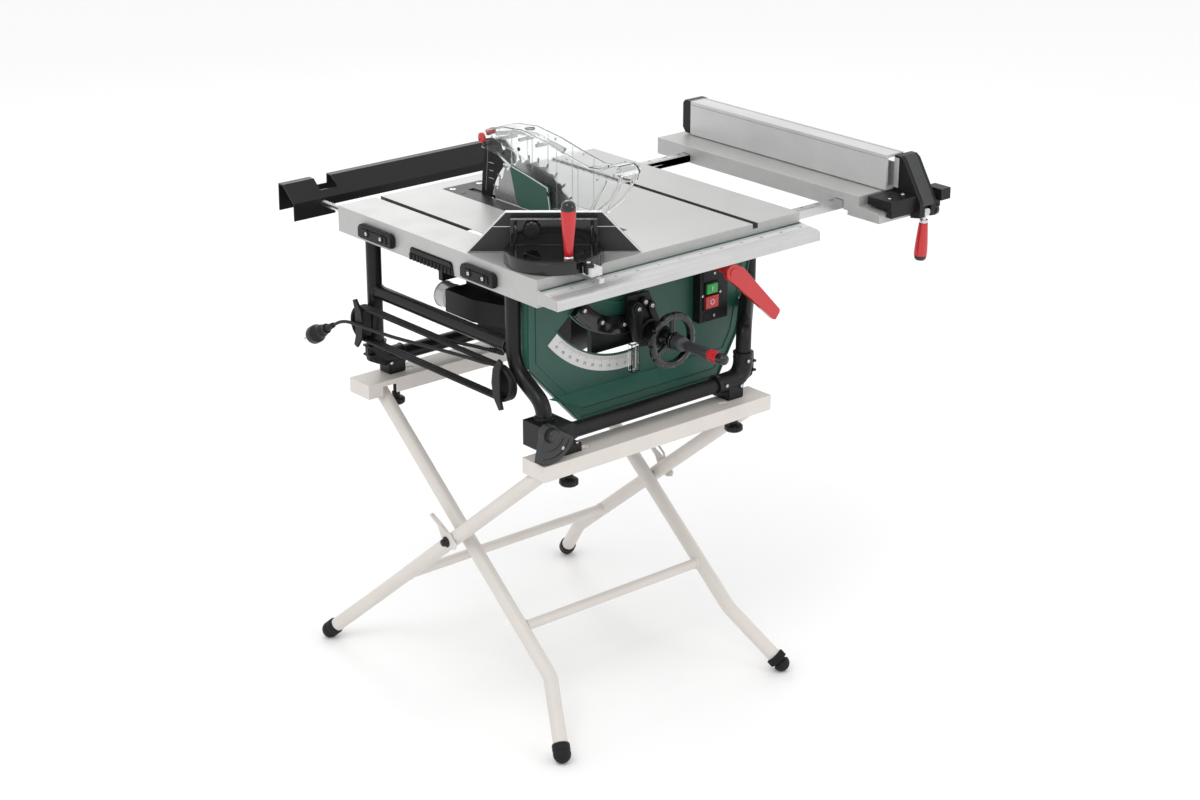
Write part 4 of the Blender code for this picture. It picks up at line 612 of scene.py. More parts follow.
def instancer():
    """A node tree that sets one pattern on every point, turned to the point's way and about."""
    tree = bpy.data.node_groups.new("set_pattern", "GeometryNodeTree")
    face = tree.interface
    face.new_socket("Geometry", in_out="INPUT", socket_type="NodeSocketGeometry")
    face.new_socket("Pattern", in_out="INPUT", socket_type="NodeSocketObject")
    face.new_socket("Turn Spread", in_out="INPUT", socket_type="NodeSocketFloat")
    face.new_socket("Seed", in_out="INPUT", socket_type="NodeSocketInt")
    face.new_socket("Finish", in_out="INPUT", socket_type="NodeSocketMaterial")
    face.new_socket("Geometry", in_out="OUTPUT", socket_type="NodeSocketGeometry")
    nodes, links = tree.nodes, tree.links
    given, made = nodes.new("NodeGroupInput"), nodes.new("NodeGroupOutput")
    pattern = nodes.new("GeometryNodeObjectInfo")
    links.new(given.outputs["Pattern"], pattern.inputs["Object"])
    read = {}
    for key in ("way", "about", "size"):
        read[key] = nodes.new("GeometryNodeInputNamedAttribute")
        read[key].data_type = "FLOAT_VECTOR"
        read[key].inputs["Name"].default_value = key
    turn = nodes.new("FunctionNodeAxesToRotation")
    turn.primary_axis, turn.secondary_axis = "Z", "X"
    links.new(read["way"].outputs["Attribute"], turn.inputs["Primary Axis"])
    links.new(read["about"].outputs["Attribute"], turn.inputs["Secondary Axis"])
    chance = nodes.new("FunctionNodeRandomValue")
    chance.data_type = "FLOAT"
    low = nodes.new("ShaderNodeMath")
    low.operation = "MULTIPLY"
    low.inputs[1].default_value = -1.0
    links.new(given.outputs["Turn Spread"], low.inputs[0])
    chance_floats = [s for s in chance.inputs if s.type == "VALUE"]
    links.new(low.outputs[0], chance_floats[0])
    links.new(given.outputs["Turn Spread"], chance_floats[1])
    links.new(given.outputs["Seed"], chance.inputs["Seed"])
    spin = nodes.new("FunctionNodeAxisAngleToRotation")
    spin.inputs["Axis"].default_value = (0, 0, 1)
    links.new([s for s in chance.outputs if s.type == "VALUE"][0], spin.inputs["Angle"])
    joined = nodes.new("FunctionNodeRotateRotation")
    joined.rotation_space = "LOCAL"
    links.new(turn.outputs["Rotation"], joined.inputs["Rotation"])
    links.new(spin.outputs["Rotation"], joined.inputs["Rotate By"])
    spread = nodes.new("GeometryNodeInstanceOnPoints")
    links.new(given.outputs["Geometry"], spread.inputs["Points"])
    links.new(pattern.outputs["Geometry"], spread.inputs["Instance"])
    links.new(joined.outputs["Rotation"], spread.inputs["Rotation"])
    links.new(read["size"].outputs["Attribute"], spread.inputs["Scale"])
    real = nodes.new("GeometryNodeRealizeInstances")
    links.new(spread.outputs["Instances"], real.inputs["Geometry"])
    paint_all = nodes.new("GeometryNodeSetMaterial")
    links.new(real.outputs["Geometry"], paint_all.inputs["Geometry"])
    links.new(given.outputs["Finish"], paint_all.inputs["Material"])
    links.new(paint_all.outputs["Geometry"], made.inputs["Geometry"])
    return tree


pattern_tree = instancer()


def repeated(name, pattern, spots, finish, body, turn_spread=0.0, seed=1, sharp=38):
    """Sets a pattern at (place, way, about, size) spots and makes one plain piece of them."""
    shape = bmesh.new()
    marks = {key: shape.verts.layers.float_vector.new(key) for key in ("way", "about", "size")}
    for place, way, about, size in spots:
        vert = shape.verts.new(Vector(place) + BENCH)
        vert[marks["way"]], vert[marks["about"]] = Vector(way).normalized(), Vector(about).normalized()
        vert[marks["size"]] = Vector(size) if hasattr(size, "__len__") else Vector((size, size, size))
    points = bpy.data.meshes.new(name + "_points")
    shape.to_mesh(points)
    shape.free()
    pattern_mesh = bpy.data.meshes.new("pattern")
    pattern.to_mesh(pattern_mesh)
    pattern_object = bpy.data.objects.new("pattern", pattern_mesh)
    carrier = bpy.data.objects.new(name + "_carrier", points)
    for made in (pattern_object, carrier):
        bpy.context.collection.objects.link(made)
    change = carrier.modifiers.new("set_pattern", "NODES")
    change.node_group = pattern_tree
    given = {s.name: s.identifier for s in pattern_tree.interface.items_tree if s.in_out == "INPUT"}
    change[given["Pattern"]] = pattern_object
    change[given["Turn Spread"]] = turn_spread
    change[given["Seed"]] = seed
    change[given["Finish"]] = finish
    result = bpy.data.meshes.new_from_object(carrier.evaluated_get(bpy.context.evaluated_depsgraph_get()))
    for old in (carrier, pattern_object):
        bpy.data.objects.remove(old)
    result.name = name
    result.shade_smooth()
    result.set_sharp_from_angle(angle=radians(sharp))
    piece = bpy.data.objects.new(name, result)
    bpy.context.collection.objects.link(piece)
    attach(piece, body)
    return piece


def screw_head(radius, height, recess=0.55):
    """A pan head with a six-lobed recess, standing on the plane below it."""
    shape = bmesh.new()
    sides = 24
    def lobes(angle, depth):
        return 1 + 0.16 * cos(6 * angle)
    lathe(shape, [(radius, -0.0003), (radius, height * 0.35), (radius * 0.93, height * 0.72),
                  (radius * 0.74, height * 0.96),
                  (radius * recess + radius * 0.10, height)], (0, 0, 0), (0, 0, 1), sides)
    crown = [f for f in shape.faces if len(f.verts) == sides and f.calc_center_median().z > height * 0.9]
    bmesh.ops.delete(shape, geom=crown, context="FACES_ONLY")
    rim = [v for v in shape.verts if abs(v.co.z - height) < 1e-7]
    rim.sort(key=lambda v: atan2(v.co.y, v.co.x) % (2 * pi))
    inner = []
    for v in rim:
        angle = atan2(v.co.y, v.co.x)
        reach = radius * recess * lobes(angle, 0)
        inner.append(shape.verts.new((reach * cos(angle), reach * sin(angle), height * 0.98)))
    floor = [shape.verts.new((v.co.x * 0.92, v.co.y * 0.92, height * 0.25)) for v in inner]
    for outer_ring, inner_ring in ((rim, inner), (inner, floor)):
        for i in range(len(rim)):
            j = (i + 1) % len(rim)
            shape.faces.new((outer_ring[i], outer_ring[j], inner_ring[j], inner_ring[i]))
    shape.faces.new(floor)
    bmesh.ops.recalc_face_normals(shape, faces=shape.faces)
    return shape


CAST_R = 0.0185
screws = []
for name, x, y, end_x, top, knob_x in (("corner_casting_front_right", RIGHT_BASE_X, FRONT_Y, 0.166, 0.640,
                                        0.2070),
                                       ("corner_casting_rear_right", RIGHT_BASE_X, REAR_Y, 0.166, 0.640,
                                        0.1890),
                                       ("corner_casting_rear_left", LEFT_X, REAR_Y, -0.165, 0.628, -0.1870)):
    outward = 1 if x > 0 else -1
    shape = bmesh.new()
    path = bent_path([(end_x, y, LOWER_Z), (x, y, LOWER_Z), (x, y, top)], 0.035, 12)
    path[1:1] = [path[0].lerp(path[1], t) for t in (0.06, 0.10, 0.30, 0.34)]
    path[-1:-1] = [path[-2].lerp(path[-1], t) for t in (0.45, 0.55)]
    girth = [CAST_R] * len(path)
    for i in (0, 1, len(path) - 1):
        girth[i] = CAST_R + 0.0012
    girth[3] = girth[4] = CAST_R - 0.0004
    pipe(shape, path, girth, 30, ends=0.0010)
    block(shape, (knob_x - 0.019, y - 0.017, BEAM_TOP + 0.0003), (knob_x + 0.019, y + 0.017, 0.5845), 0.0016)
    slab(shape, [(x - outward * 0.004, 0.578), (x + outward * 0.020, 0.590), (x + outward * 0.0232, 0.606),
                 (x + outward * 0.0232, top - 0.008), (x + outward * 0.010, top - 0.0015)], "y", y - 0.006,
         y + 0.006, 0.0014)
    for z in (0.600, 0.618):
        slab(shape, [(x + outward * 0.012, z), (x + outward * 0.0228, z - 0.001),
                     (x + outward * 0.0228, z + 0.0035),
                     (x + outward * 0.012, z + 0.0035)], "y", y - 0.013, y + 0.013, 0.0008)
    for side in (-1, 1):
        for sx, sz in ((end_x + outward * 0.016, LOWER_Z + 0.001), (x - outward * 0.020, LOWER_Z - 0.008),
                       (x - outward * 0.004, top - 0.014)):
            lathe(shape, [(0.0052, -0.004), (0.0052, 0.0008), (0.0044, 0.0014)],
                  (sx, y + side * 0.0175, sz), (0, side, 0), 20)
            screws.append(((sx, y + side * 0.0189, sz), (0, side, 0), (1, 0, 0), 1.0))
    screws.append(((knob_x - outward * 0.006, y - 0.0100, 0.5845), (0, 0, 1), (1, 0, 0), 1.25))
    elbow = settle("elbow_" + name[15:], shape, cast_black, "chassis", sharp=42)
    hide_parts(name)
refit("corner_casting_front_left", "casting_front_left", cast_black, "chassis",
      edge=0.0022, segments=3)
shape = bmesh.new()
pipe(shape, [(-0.2225, -0.232, 0.6135), (-0.2225, -0.232, 0.6225)], 0.0178, 30, ends=0.001)
pipe(shape, [(-0.1935, -0.250, LOWER_Z), (-0.1720, -0.250, LOWER_Z)], [0.0176, 0.0162], 30, ends=0.0008)
settle("casting_collars", shape, cast_black, "chassis")
screws.append(((-0.1800, -0.2690, 0.5731), (0, 0, 1), (1, 0, 0), 1.25))
repeated("casting_screws", screw_head(0.0034, 0.0016), screws, bright_steel, "chassis",
         turn_spread=1.5, seed=4)

# ---- levelling corner ----------------------------------------------------------------------------
# A fan-shaped cast foot that turns on the front left corner. Its rim is finely toothed, two
# steps run round its face, and a round button caps the pivot.

FAN = (-0.2560, 0.6140)
fan_grey = surface("fan_cast_grey", (0.030, 0.031, 0.033), 0.42, metal=0.25, mottle=0.25, mottle_size=0.010,
                   grain=0.0010, bump=0.5)
refit("levelling_foot", "fan_foot", fan_grey, "corner_foot", edge=0.0009)


def arc(centre, radius, first, last, steps):
    return [(centre[0] + radius * cos(first + (last - first) * i / steps),
             centre[1] + radius * sin(first + (last - first) * i / steps)) for i in range(steps + 1)]


shape = bmesh.new()
for inner, outer, depth in ((0.0440, 0.0475, 0.0012), (0.0300, 0.0325, 0.0010)):
    slab(shape, arc(FAN, outer, radians(-112), radians(-24), 24) + arc(FAN, inner, radians(-24),
                                                                       radians(-112), 24),
         "y", -0.2920 - depth, -0.2915, 0.0004)
settle("fan_steps", shape, fan_grey, "corner_foot")
tooth = bmesh.new()
block(tooth, (-0.0011, -0.0070, -0.0006), (0.0011, 0.0070, 0.0012), 0.0003, 1)
teeth = []
for i in range(34):
    angle = radians(-117 + 98 * i / 33)
    out = Vector((cos(angle), 0, sin(angle)))
    teeth.append((Vector((FAN[0], -0.2841, FAN[1])) + out * 0.0541, out, (-sin(angle), 0, cos(angle)), 1.0))
repeated("fan_teeth", tooth, teeth, fan_grey, "corner_foot")
shape = bmesh.new()
lathe(shape, [(0.0130, 0), (0.0130, 0.0062), (0.0122, 0.0080), (0.0105, 0.0088), (0.0100, 0.0080),
              (0, 0.0080)],
      (FAN[0], -0.2918, FAN[1]), (0, -1, 0), 48, lambda angle,
      height: 1 - (0.03 * (cos(16 * angle) > 0.2) if 0 < height < 0.007 else 0))
lathe(shape, [(0.0145, 0), (0.0145, 0.0020), (0.0135, 0.0026)], (FAN[0], -0.2916, FAN[1]), (0, -1, 0), 40)
settle("fan_button", shape, moulded_black, "corner_foot")
fan_screws = [((-0.2300, -0.2921, 0.5830), (0, -1, 0), (1, 0, 0), 1.0)]
repeated("fan_screw", screw_head(0.0034, 0.0016), fan_screws, bright_steel, "corner_foot",
         seed=2)
for end, node in (("front", "cord_hook_front"), ("rear", "cord_hook_rear")):
    refit(node, "winding_hook_" + end, moulded_black, "chassis", edge=0.0010)

# ---- table ---------------------------------------------------------------------------------------
# A die-cast aluminium plate, ground on top with fine lines across, with a plain skirt and two
# mitre slots. The insert is a dark coated plate held by two countersunk screws.

TABLE = (-0.247, 0.380, -0.246, 0.345, 0.880)          # left, right, front, back, top


def ground_metal(name, colour, rough, along="y", metal=0.55, lines=0.0016):
    """Metal with fine drawn lines one way and a slow cloudiness of tone."""
    stretch = {"x": (0.03, 1, 1), "y": (1, 0.03, 1), "z": (1, 1, 0.03)}[along]
    material = surface(name, colour, rough, metal=metal, mottle=0.045, mottle_size=0.06, grain=lines,
                       stretch=stretch, bump=0.10,
                       sheen_spread=0.22)
    material.node_tree.nodes["Principled BSDF"].inputs["Anisotropic"].default_value = 0.3
    return material


table_ground = ground_metal("table_ground", (0.47, 0.47, 0.46), 0.42, "x", metal=0.35)
cast_side = surface("cast_side", (0.46, 0.46, 0.455), 0.46, metal=0.35, mottle=0.05, mottle_size=0.02,
                    grain=0.0011, bump=0.35)
# Dark grey for the insides of the mitre slots and the fence's grooves: painted shade in the recesses.
slot_painted_shade = surface("slot_painted_shade", (0.10, 0.10, 0.10), 0.5, metal=0.4, mottle=0.15, grain=0.001, bump=0.2)
insert_coat = surface("insert_coat", (0.0231, 0.0235, 0.0252), 0.42, shine=0.30, metal=0.2, mottle=0.12,
                      mottle_size=0.02, grain=0.0009, bump=0.3)


def part_faces(piece, finishes, choose):
    """Gives each face the finish whose place in the list choose(centre, normal) returns."""
    for finish in finishes:
        piece.data.materials.append(finish)
    for face in piece.data.polygons:
        face.material_index = choose(Vector(face.center) - BENCH, face.normal)


SLOT_X = (-0.1555, 0.2662)
SLOT_W = 0.0126


# Slot faces below the table's top take the dark slot finish, which is painted shade inside the mitre slots.
def table_face(centre, normal):
    in_slot = any(abs(centre.x - x) < SLOT_W / 2 + 0.0002 for x in SLOT_X) and centre.z > 0.8695
    if in_slot and centre.z < TABLE[4] - 0.0012:
        return 2
    return 0 if normal.z > 0.5 else 1


table = refit("table_top", "table", table_ground, "chassis", edge=0.0010, segments=2)
part_faces(table, [cast_side, slot_painted_shade], table_face)
refit("table_insert", "insert_plate", insert_coat, "chassis", edge=0.0004, segments=2)

countersunk = bmesh.new()
lathe(countersunk, [(0.0060, -0.0002), (0.0060, 0.0003), (0.0054, 0.0005), (0.0030, 0.0005),
                    (0.0026, -0.0001), (0, -0.0001)],
      (0, 0, 0), (0, 0, 1), 28)
insert_screws = [((-0.0170, 0.2930, 0.8799), (0, 0, 1), (1, 0, 0), 1.0),
                 ((0.0470, 0.2930, 0.8799), (0, 0, 1), (1, 0, 0), 1.0),
                 ((0.0150, -0.1080, 0.8799), (0, 0, 1), (1, 0, 0), 0.8)]
repeated("insert_screws", countersunk, insert_screws, bright_steel, "chassis",
         turn_spread=1.5, seed=3)
shape = bmesh.new()
for x in (-0.0170, 0.0470):
    lathe(shape, [(0.0042, -0.0002), (0.0042, 0.0006), (0.0036, 0.0008), (0, 0.0008)], (x, 0.2600, 0.8799),
          (0, 0, 1), 24)
settle("insert_levellers", shape, black_zinc, "chassis")

# ---- table: left side ----------------------------------------------------------------------------
# Two black moulded brackets, each with two deep screws, hold the frame to the left skirt. A
# black ribbed hand grip fills the long recess between them.

# Near black for the motor's vent openings: painted shade inside the vents.
vent_painted_shade = surface("vent_painted_shade", (0.006, 0.006, 0.0065), 0.6, mottle=0.3, grain=0.0008, bump=0.3)
pan_spots = []
for front, back in ((0.162, 0.268), (-0.139, -0.043)):
    shape = bmesh.new()
    slab(shape, [(front, 0.8405), (front + 0.004, 0.8385), (back - 0.004, 0.8385), (back, 0.8405),
                 (back, 0.8590), (back - 0.006, 0.8655),
                 (front + 0.006, 0.8655), (front, 0.8590)], "x", -0.2588, -0.2468, 0.0022, 3)
    middle, half = (front + back) / 2, (back - front) / 2
    slab(shape, [(front + 0.012, 0.8440), (back - 0.012, 0.8440), (back - 0.014, 0.8600),
                 (front + 0.014, 0.8600)], "x", -0.2606, -0.2580,
         0.0012)
    for way in (-1, 1):
        spot = middle + way * half * 0.42
        lathe(shape, [(0.0078, -0.001), (0.0078, 0.0016), (0.0070, 0.0024), (0.0052, 0.0024),
                      (0.0050, 0.0006), (0, 0.0006)],
              (-0.2602, spot, 0.8520), (-1, 0, 0), 28)
        pan_spots.append(((-0.2608, spot, 0.8520), (-1, 0, 0), (0, 1, 0), 1.15))
    settle("skirt_bracket_%d" % (1 if front > 0 else 2), shape, moulded_black, "chassis",
           sharp=45)
repeated("bracket_screws", screw_head(0.0036, 0.0014), pan_spots, bright_steel, "chassis",
         turn_spread=1.4, seed=8)

shape = bmesh.new()
slab(shape, [(-0.0130, 0.8302), (0.1170, 0.8302), (0.1170, 0.8500), (0.1130, 0.8545), (-0.0050, 0.8545),
             (-0.0090, 0.8500)], "x",
     -0.2492, -0.2469, 0.0008)
slab(shape, [(-0.0100, 0.8440), (0.1140, 0.8440), (0.1140, 0.8500), (0.1110, 0.8530), (-0.0040, 0.8530),
             (-0.0070, 0.8500)], "x",
     -0.2508, -0.2488, 0.0006)
settle("hand_grip", shape, moulded_black, "chassis")
rib = bmesh.new()
lathe(rib, [(0.0030, -0.0062), (0.0036, -0.0050), (0.0036, 0.0050), (0.0030, 0.0062)], (0, 0, 0), (0, 0, 1),
      16)
ribs = [((-0.2490, -0.0020 + 0.0105 * i, 0.8372), (0, 0, 1), (1, 0, 0), 1.0) for i in range(12)]
repeated("hand_grip_ribs", rib, ribs, moulded_black, "chassis")

# ---- front rail ----------------------------------------------------------------------------------
# An extruded aluminium rail, mill finished, screwed along the table's front edge. A green strip
# lies in its groove with the rip scale, and both ends are cut square.

rail_metal = ground_metal("rail_metal", (0.55, 0.55, 0.55), 0.34, "x", metal=0.40, lines=0.0020)
strip_green = surface("strip_green", (0.012, 0.075, 0.055), 0.45, mottle=0.08, grain=0.001, bump=0.15)
scale_white = surface("scale_white", (0.62, 0.62, 0.61), 0.38, metal=0.1, mottle=0.03, grain=0.001, bump=0.08)
print_black = surface("print_black", (0.012, 0.012, 0.012), 0.5, mottle=0.15, grain=0.0009, bump=0.1)
refit("front_rail", "guide_rail", rail_metal, "chassis", edge=0.0007)


def rail_height(y):
    """The height of the rail's sloping top at y."""
    return 0.8615 - 0.0045 * (-0.2463 - y) / (0.2952 - 0.2463)


shape = bmesh.new()
slab(shape, [(-0.2490, rail_height(-0.2490) - 0.001), (-0.2490, rail_height(-0.2490) + 0.0009),
             (-0.2535, rail_height(-0.2535) + 0.0009),
             (-0.2535, rail_height(-0.2535) - 0.001)], "x", -0.2440, 0.3770, 0.0003)
settle("rail_strip", shape, strip_green, "chassis")
shape = bmesh.new()
slab(shape, [(-0.2620, rail_height(-0.2620) - 0.001), (-0.2620, rail_height(-0.2620) + 0.0004),
             (-0.2790, rail_height(-0.2790) + 0.0004),
             (-0.2790, rail_height(-0.2790) - 0.001)], "x", -0.2460, 0.3785, 0.0002)
settle("rail_scale", shape, scale_white, "chassis")


def written(text, place, height, right, up, shape):
    """Adds the flat outline of a number to shape, middled on place."""
    letters = bpy.data.curves.new("number", "FONT")
    letters.body = text
    letters.size = height
    letters.align_x, letters.align_y = "CENTER", "CENTER"
    letters.extrude = 0.00008
    letters.resolution_u = 3
    holder = bpy.data.objects.new("number", letters)
    bpy.context.collection.objects.link(holder)
    flat = bpy.data.meshes.new_from_object(holder.evaluated_get(bpy.context.evaluated_depsgraph_get()))
    right, up = Vector(right).normalized(), Vector(up).normalized()
    out = right.cross(up)
    flat.transform(Matrix.Translation(place) @ Matrix((right, up, out)).transposed().to_4x4())
    shape.from_mesh(flat)
    bpy.data.meshes.remove(flat)
    bpy.data.objects.remove(holder)
    bpy.data.curves.remove(letters)


tick = bmesh.new()
block(tick, (-0.00022, 0, -0.0001), (0.00022, 1.0, 0.0001))
rail_ticks = []
digits = bmesh.new()
slope = Vector((0, 0.0489, 0.0045)).normalized()
rail_up = Vector((1, 0, 0)).cross(slope)
for i in range(0, 125):
    x = -0.2400 + 0.005 * i
    if x > 0.376:
        break
    long = 0.0052 if i % 2 == 0 else 0.0034
    start = Vector((x, -0.2786, rail_height(-0.2786) + 0.0005))
    rail_ticks.append((start, rail_up, (1, 0, 0), (1, long, 1)))
    if i % 10 == 0 and x > -0.23:
        written("%d" % abs(i // 2 - 30), Vector((x, -0.2688, rail_height(-0.2688) + 0.0006)), 0.0062,
                (1, 0, 0), slope, digits)
repeated("rail_ticks", tick, rail_ticks, print_black, "chassis")
settle("rail_numbers", digits, print_black, "chassis")
shape = bmesh.new()
slab(shape, [(-0.2500, 0.8392), (-0.2990, 0.8392), (-0.2990, 0.8520), (-0.2955, 0.8558), (-0.2500, 0.8600)],
     "x", -0.2476, -0.2465, 0.0004)
settle("rail_end_left", shape, cast_side, "chassis")

# ---- front panel ---------------------------------------------------------------------------------
# A dark green moulded cover with a curved window for the tilt, its edge thickened into a ribbed
# border, a stepped lower band, a small hole and a white printed tilt scale below the window.

TILT = (0.0105, 0.880)
PANEL_FRONT = -0.178


def on_dial(radius, degrees_left):
    angle = radians(degrees_left)
    return (TILT[0] - radius * sin(angle), TILT[1] - radius * cos(angle))


def dial_band(inner, outer, first, last, steps=36):
    angles = [first + (last - first) * i / steps for i in range(steps + 1)]
    return [on_dial(outer, a) for a in angles] + [on_dial(inner, a) for a in reversed(angles)]


panel_green = surface("panel_green", (0.0135, 0.074, 0.054), 0.40, mottle=0.10, mottle_size=0.05,
                      grain=0.0008, bump=0.45)
# The border, band and window lips use a lighter copy of the panel green: painted highlight on the raised
# rims.
panel_rim_highlight_green = surface("panel_rim_highlight_green", (0.019, 0.098, 0.073), 0.36, mottle=0.10, grain=0.0008,
                           bump=0.4)
refit("front_panel", "panel", panel_green, "chassis", edge=0.0014, segments=3)
corners = [(-0.2165, 0.8290), (-0.2165, 0.691), (-0.099, 0.566), (0.244, 0.566), (0.292, 0.6486),
           (0.330, 0.8290)]


def inset_path(points, amount):
    """The open outline moved inwards by amount."""
    moved = []
    for i, point in enumerate(points):
        here = Vector(point)
        before = (here - Vector(points[i - 1])).normalized() if i else None
        after = (Vector(points[i + 1]) - here).normalized() if i < len(points) - 1 else None
        lines = [v for v in (before, after) if v]
        normals = [Vector((-v.y, v.x)) for v in lines]
        if len(normals) == 1:
            moved.append(here + normals[0] * amount)
        else:
            middle = (normals[0] + normals[1]).normalized()
            moved.append(here + middle * amount / middle.dot(normals[0]))
    return [tuple(p) for p in moved]


shape = bmesh.new()
for near, far, proud in ((0.0020, 0.0062, 0.0030), (0.0190, 0.0222, 0.0016)):
    outline = inset_path(corners, near) + list(reversed(inset_path(corners, far)))
    slab(shape, outline, "y", PANEL_FRONT - proud, PANEL_FRONT + 0.0010, 0.0011)
settle("panel_border", shape, panel_rim_highlight_green, "chassis", sharp=45)
shape = bmesh.new()
inner = inset_path(corners, 0.0235)
band = [(-0.1690, 0.6240), inner[2], inner[3], (inner[3][0] + 0.0285, 0.6240)]
slab(shape, band, "y", PANEL_FRONT - 0.0014, PANEL_FRONT + 0.0010, 0.0010)
settle("panel_band", shape, panel_rim_highlight_green, "chassis", sharp=45)
shape = bmesh.new()
slab(shape, dial_band(0.2068, 0.2084, -25.5, 51.5), "y", PANEL_FRONT - 0.0016, PANEL_FRONT + 0.0010, 0.0005)
slab(shape, dial_band(0.1678, 0.1694, -25.5, 51.5), "y", PANEL_FRONT - 0.0016, PANEL_FRONT + 0.0010, 0.0005)
slab(shape, dial_band(0.1080, 0.1120, -30.0, 55.0), "y", PANEL_FRONT - 0.0022, PANEL_FRONT + 0.0010, 0.0010)
settle("window_lips", shape, panel_rim_highlight_green, "chassis", sharp=45)
shape = bmesh.new()
lathe(shape, [(0.0055, -0.001), (0.0055, 0.0016), (0.0046, 0.0022), (0.0034, 0.0022), (0.0032, 0.0006),
              (0, 0.0006)],
      (0.1150, PANEL_FRONT, 0.6590), (0, -1, 0), 28)
settle("panel_hole", shape, panel_green, "chassis")

# ---- tilt scale ----------------------------------------------------------------------------------
# A curved white plate riveted under the window: 0 to 45 degrees to the left, a tick for each
# degree and a number for every five.

shape = bmesh.new()
slab(shape, dial_band(0.2098, 0.2372, -4.5, 49.5), "y", PANEL_FRONT - 0.0014, PANEL_FRONT - 0.0001, 0.0003)
settle("tilt_scale", shape, scale_white, "chassis")
scale_face = PANEL_FRONT - 0.0015
tilt_ticks = []
digits = bmesh.new()
for degree in range(0, 46):
    angle = radians(degree)
    outwards = Vector((-sin(angle), 0, -cos(angle)))
    along = Vector((cos(angle), 0, -sin(angle)))
    long = 0.0095 if degree % 5 == 0 else 0.0060
    x, z = on_dial(0.2110 + long, degree)
    tilt_ticks.append(((x, scale_face, z), (0, -1, 0), along, (1, long, 1)))
    if degree % 5 == 0:
        x, z = on_dial(0.2276, degree)
        written("%d" % degree, Vector((x, scale_face, z)), 0.0078, along, -outwards, digits)
repeated("tilt_ticks", tick, tilt_ticks, print_black, "chassis")
settle("tilt_numbers", digits, print_black, "chassis")

# ---- tilt rack -----------------------------------------------------------------------------------
# A glossy black toothed arc, screwed to the panel above the window by bright screws on round
# bosses. The hand wheel's pinion climbs its teeth.

gloss_black = surface("gloss_black", (0.0045, 0.0045, 0.0049), 0.14, shine=0.34, mottle=0.15,
                      mottle_size=0.02, grain=0.0016, bump=0.06, gloss=0.5)
RACK_FACE = PANEL_FRONT - 0.0130
refit("bevel_rack", "rack", gloss_black, "chassis", edge=0.0004, segments=2, angle=32)
shape = bmesh.new()
slab(shape, dial_band(0.1382, 0.1412, -19, 49.2), "y", RACK_FACE - 0.0022, RACK_FACE + 0.0010, 0.0008)
slab(shape, dial_band(0.1545, 0.1562, -19, 49.2), "y", RACK_FACE - 0.0012, RACK_FACE + 0.0010, 0.0004)
rack_screws = []
for degree in (-16, 6, 27, 47):
    x, z = on_dial(0.1480, degree)
    lathe(shape, [(0.0072, -0.001), (0.0072, 0.0030), (0.0062, 0.0042), (0.0040, 0.0042), (0, 0.0042)],
          (x, RACK_FACE, z), (0, -1, 0), 28)
    rack_screws.append(((x, RACK_FACE - 0.0042, z), (0, -1, 0), (1, 0, 0), 1.1))
settle("rack_rims", shape, gloss_black, "chassis", sharp=45)
repeated("rack_screws", screw_head(0.0036, 0.0018), rack_screws, bright_steel, "chassis",
         turn_spread=1.5, seed=12)

# ---- switch --------------------------------------------------------------------------------------
# A black moulded switch box with a framed green push and a framed red push, screwed at the top
# and the bottom. The pushes carry a bar and a ring.

SWITCH = (0.176, 0.246, 0.693, 0.800)
SWITCH_FACE = PANEL_FRONT - 0.020
GREEN_PUSH = (0.190, 0.216, 0.748, 0.767)
RED_PUSH = (0.187, 0.219, 0.720, 0.744)


def hoop(shape, section, start, way, sides=48):
    """A closed ring about an axis; the section is (radius, height) and is joined end to end."""
    way = Vector(way).normalized()
    across = way.orthogonal().normalized()
    up = way.cross(across)
    turns = [2 * pi * i / sides for i in range(sides)]
    loops = [[shape.verts.new(Vector(start) + way * height + radius * (across * cos(a) + up * sin(a)))
              for a in turns] for radius, height in section]
    made = []
    for first, second in zip(loops, loops[1:] + loops[:1]):
        for i in range(sides):
            made.append(shape.faces.new((first[i], first[(i + 1) % sides], second[(i + 1) % sides],
                                         second[i])))
    bmesh.ops.recalc_face_normals(shape, faces=made)


push_green = surface("push_green", (0.030, 0.40, 0.075), 0.28, mottle=0.06, grain=0.0010, bump=0.12,
                     gloss=0.3)
red_gloss = surface("red_gloss", (0.50, 0.010, 0.014), 0.24, mottle=0.05, mottle_size=0.03, grain=0.0016,
                    bump=0.08, gloss=0.4)
print_white = surface("print_white", (0.75, 0.75, 0.74), 0.4, mottle=0.03, grain=0.001, bump=0.05)
refit("switch_housing", "switch_box", moulded_black, "chassis", edge=0.0022, segments=3)
shape = bmesh.new()
for spot in (GREEN_PUSH, RED_PUSH):
    left, right, low, high = spot[0] - 0.0042, spot[1] + 0.0042, spot[2] - 0.0032, spot[3] + 0.0032
    for box_low, box_high in (((left, low), (right, spot[2] - 0.0007)),
                              ((left, spot[3] + 0.0007), (right, high)),
                              ((left, spot[2] - 0.0007), (spot[0] - 0.0007, spot[3] + 0.0007)),
                              ((spot[1] + 0.0007, spot[2] - 0.0007), (right, spot[3] + 0.0007))):
        block(shape, (box_low[0], SWITCH_FACE - 0.0026, box_low[1]),
              (box_high[0], SWITCH_FACE + 0.001, box_high[1]), 0.0006)
block(shape, (SWITCH[0] + 0.006, SWITCH_FACE - 0.0012, 0.7745),
      (SWITCH[1] - 0.006, SWITCH_FACE + 0.001, 0.7950), 0.0006)
block(shape, (SWITCH[0] + 0.010, SWITCH_FACE - 0.0010, 0.6975),
      (SWITCH[1] - 0.010, SWITCH_FACE + 0.001, 0.7120), 0.0005)
settle("switch_frames", shape, moulded_black, "chassis")
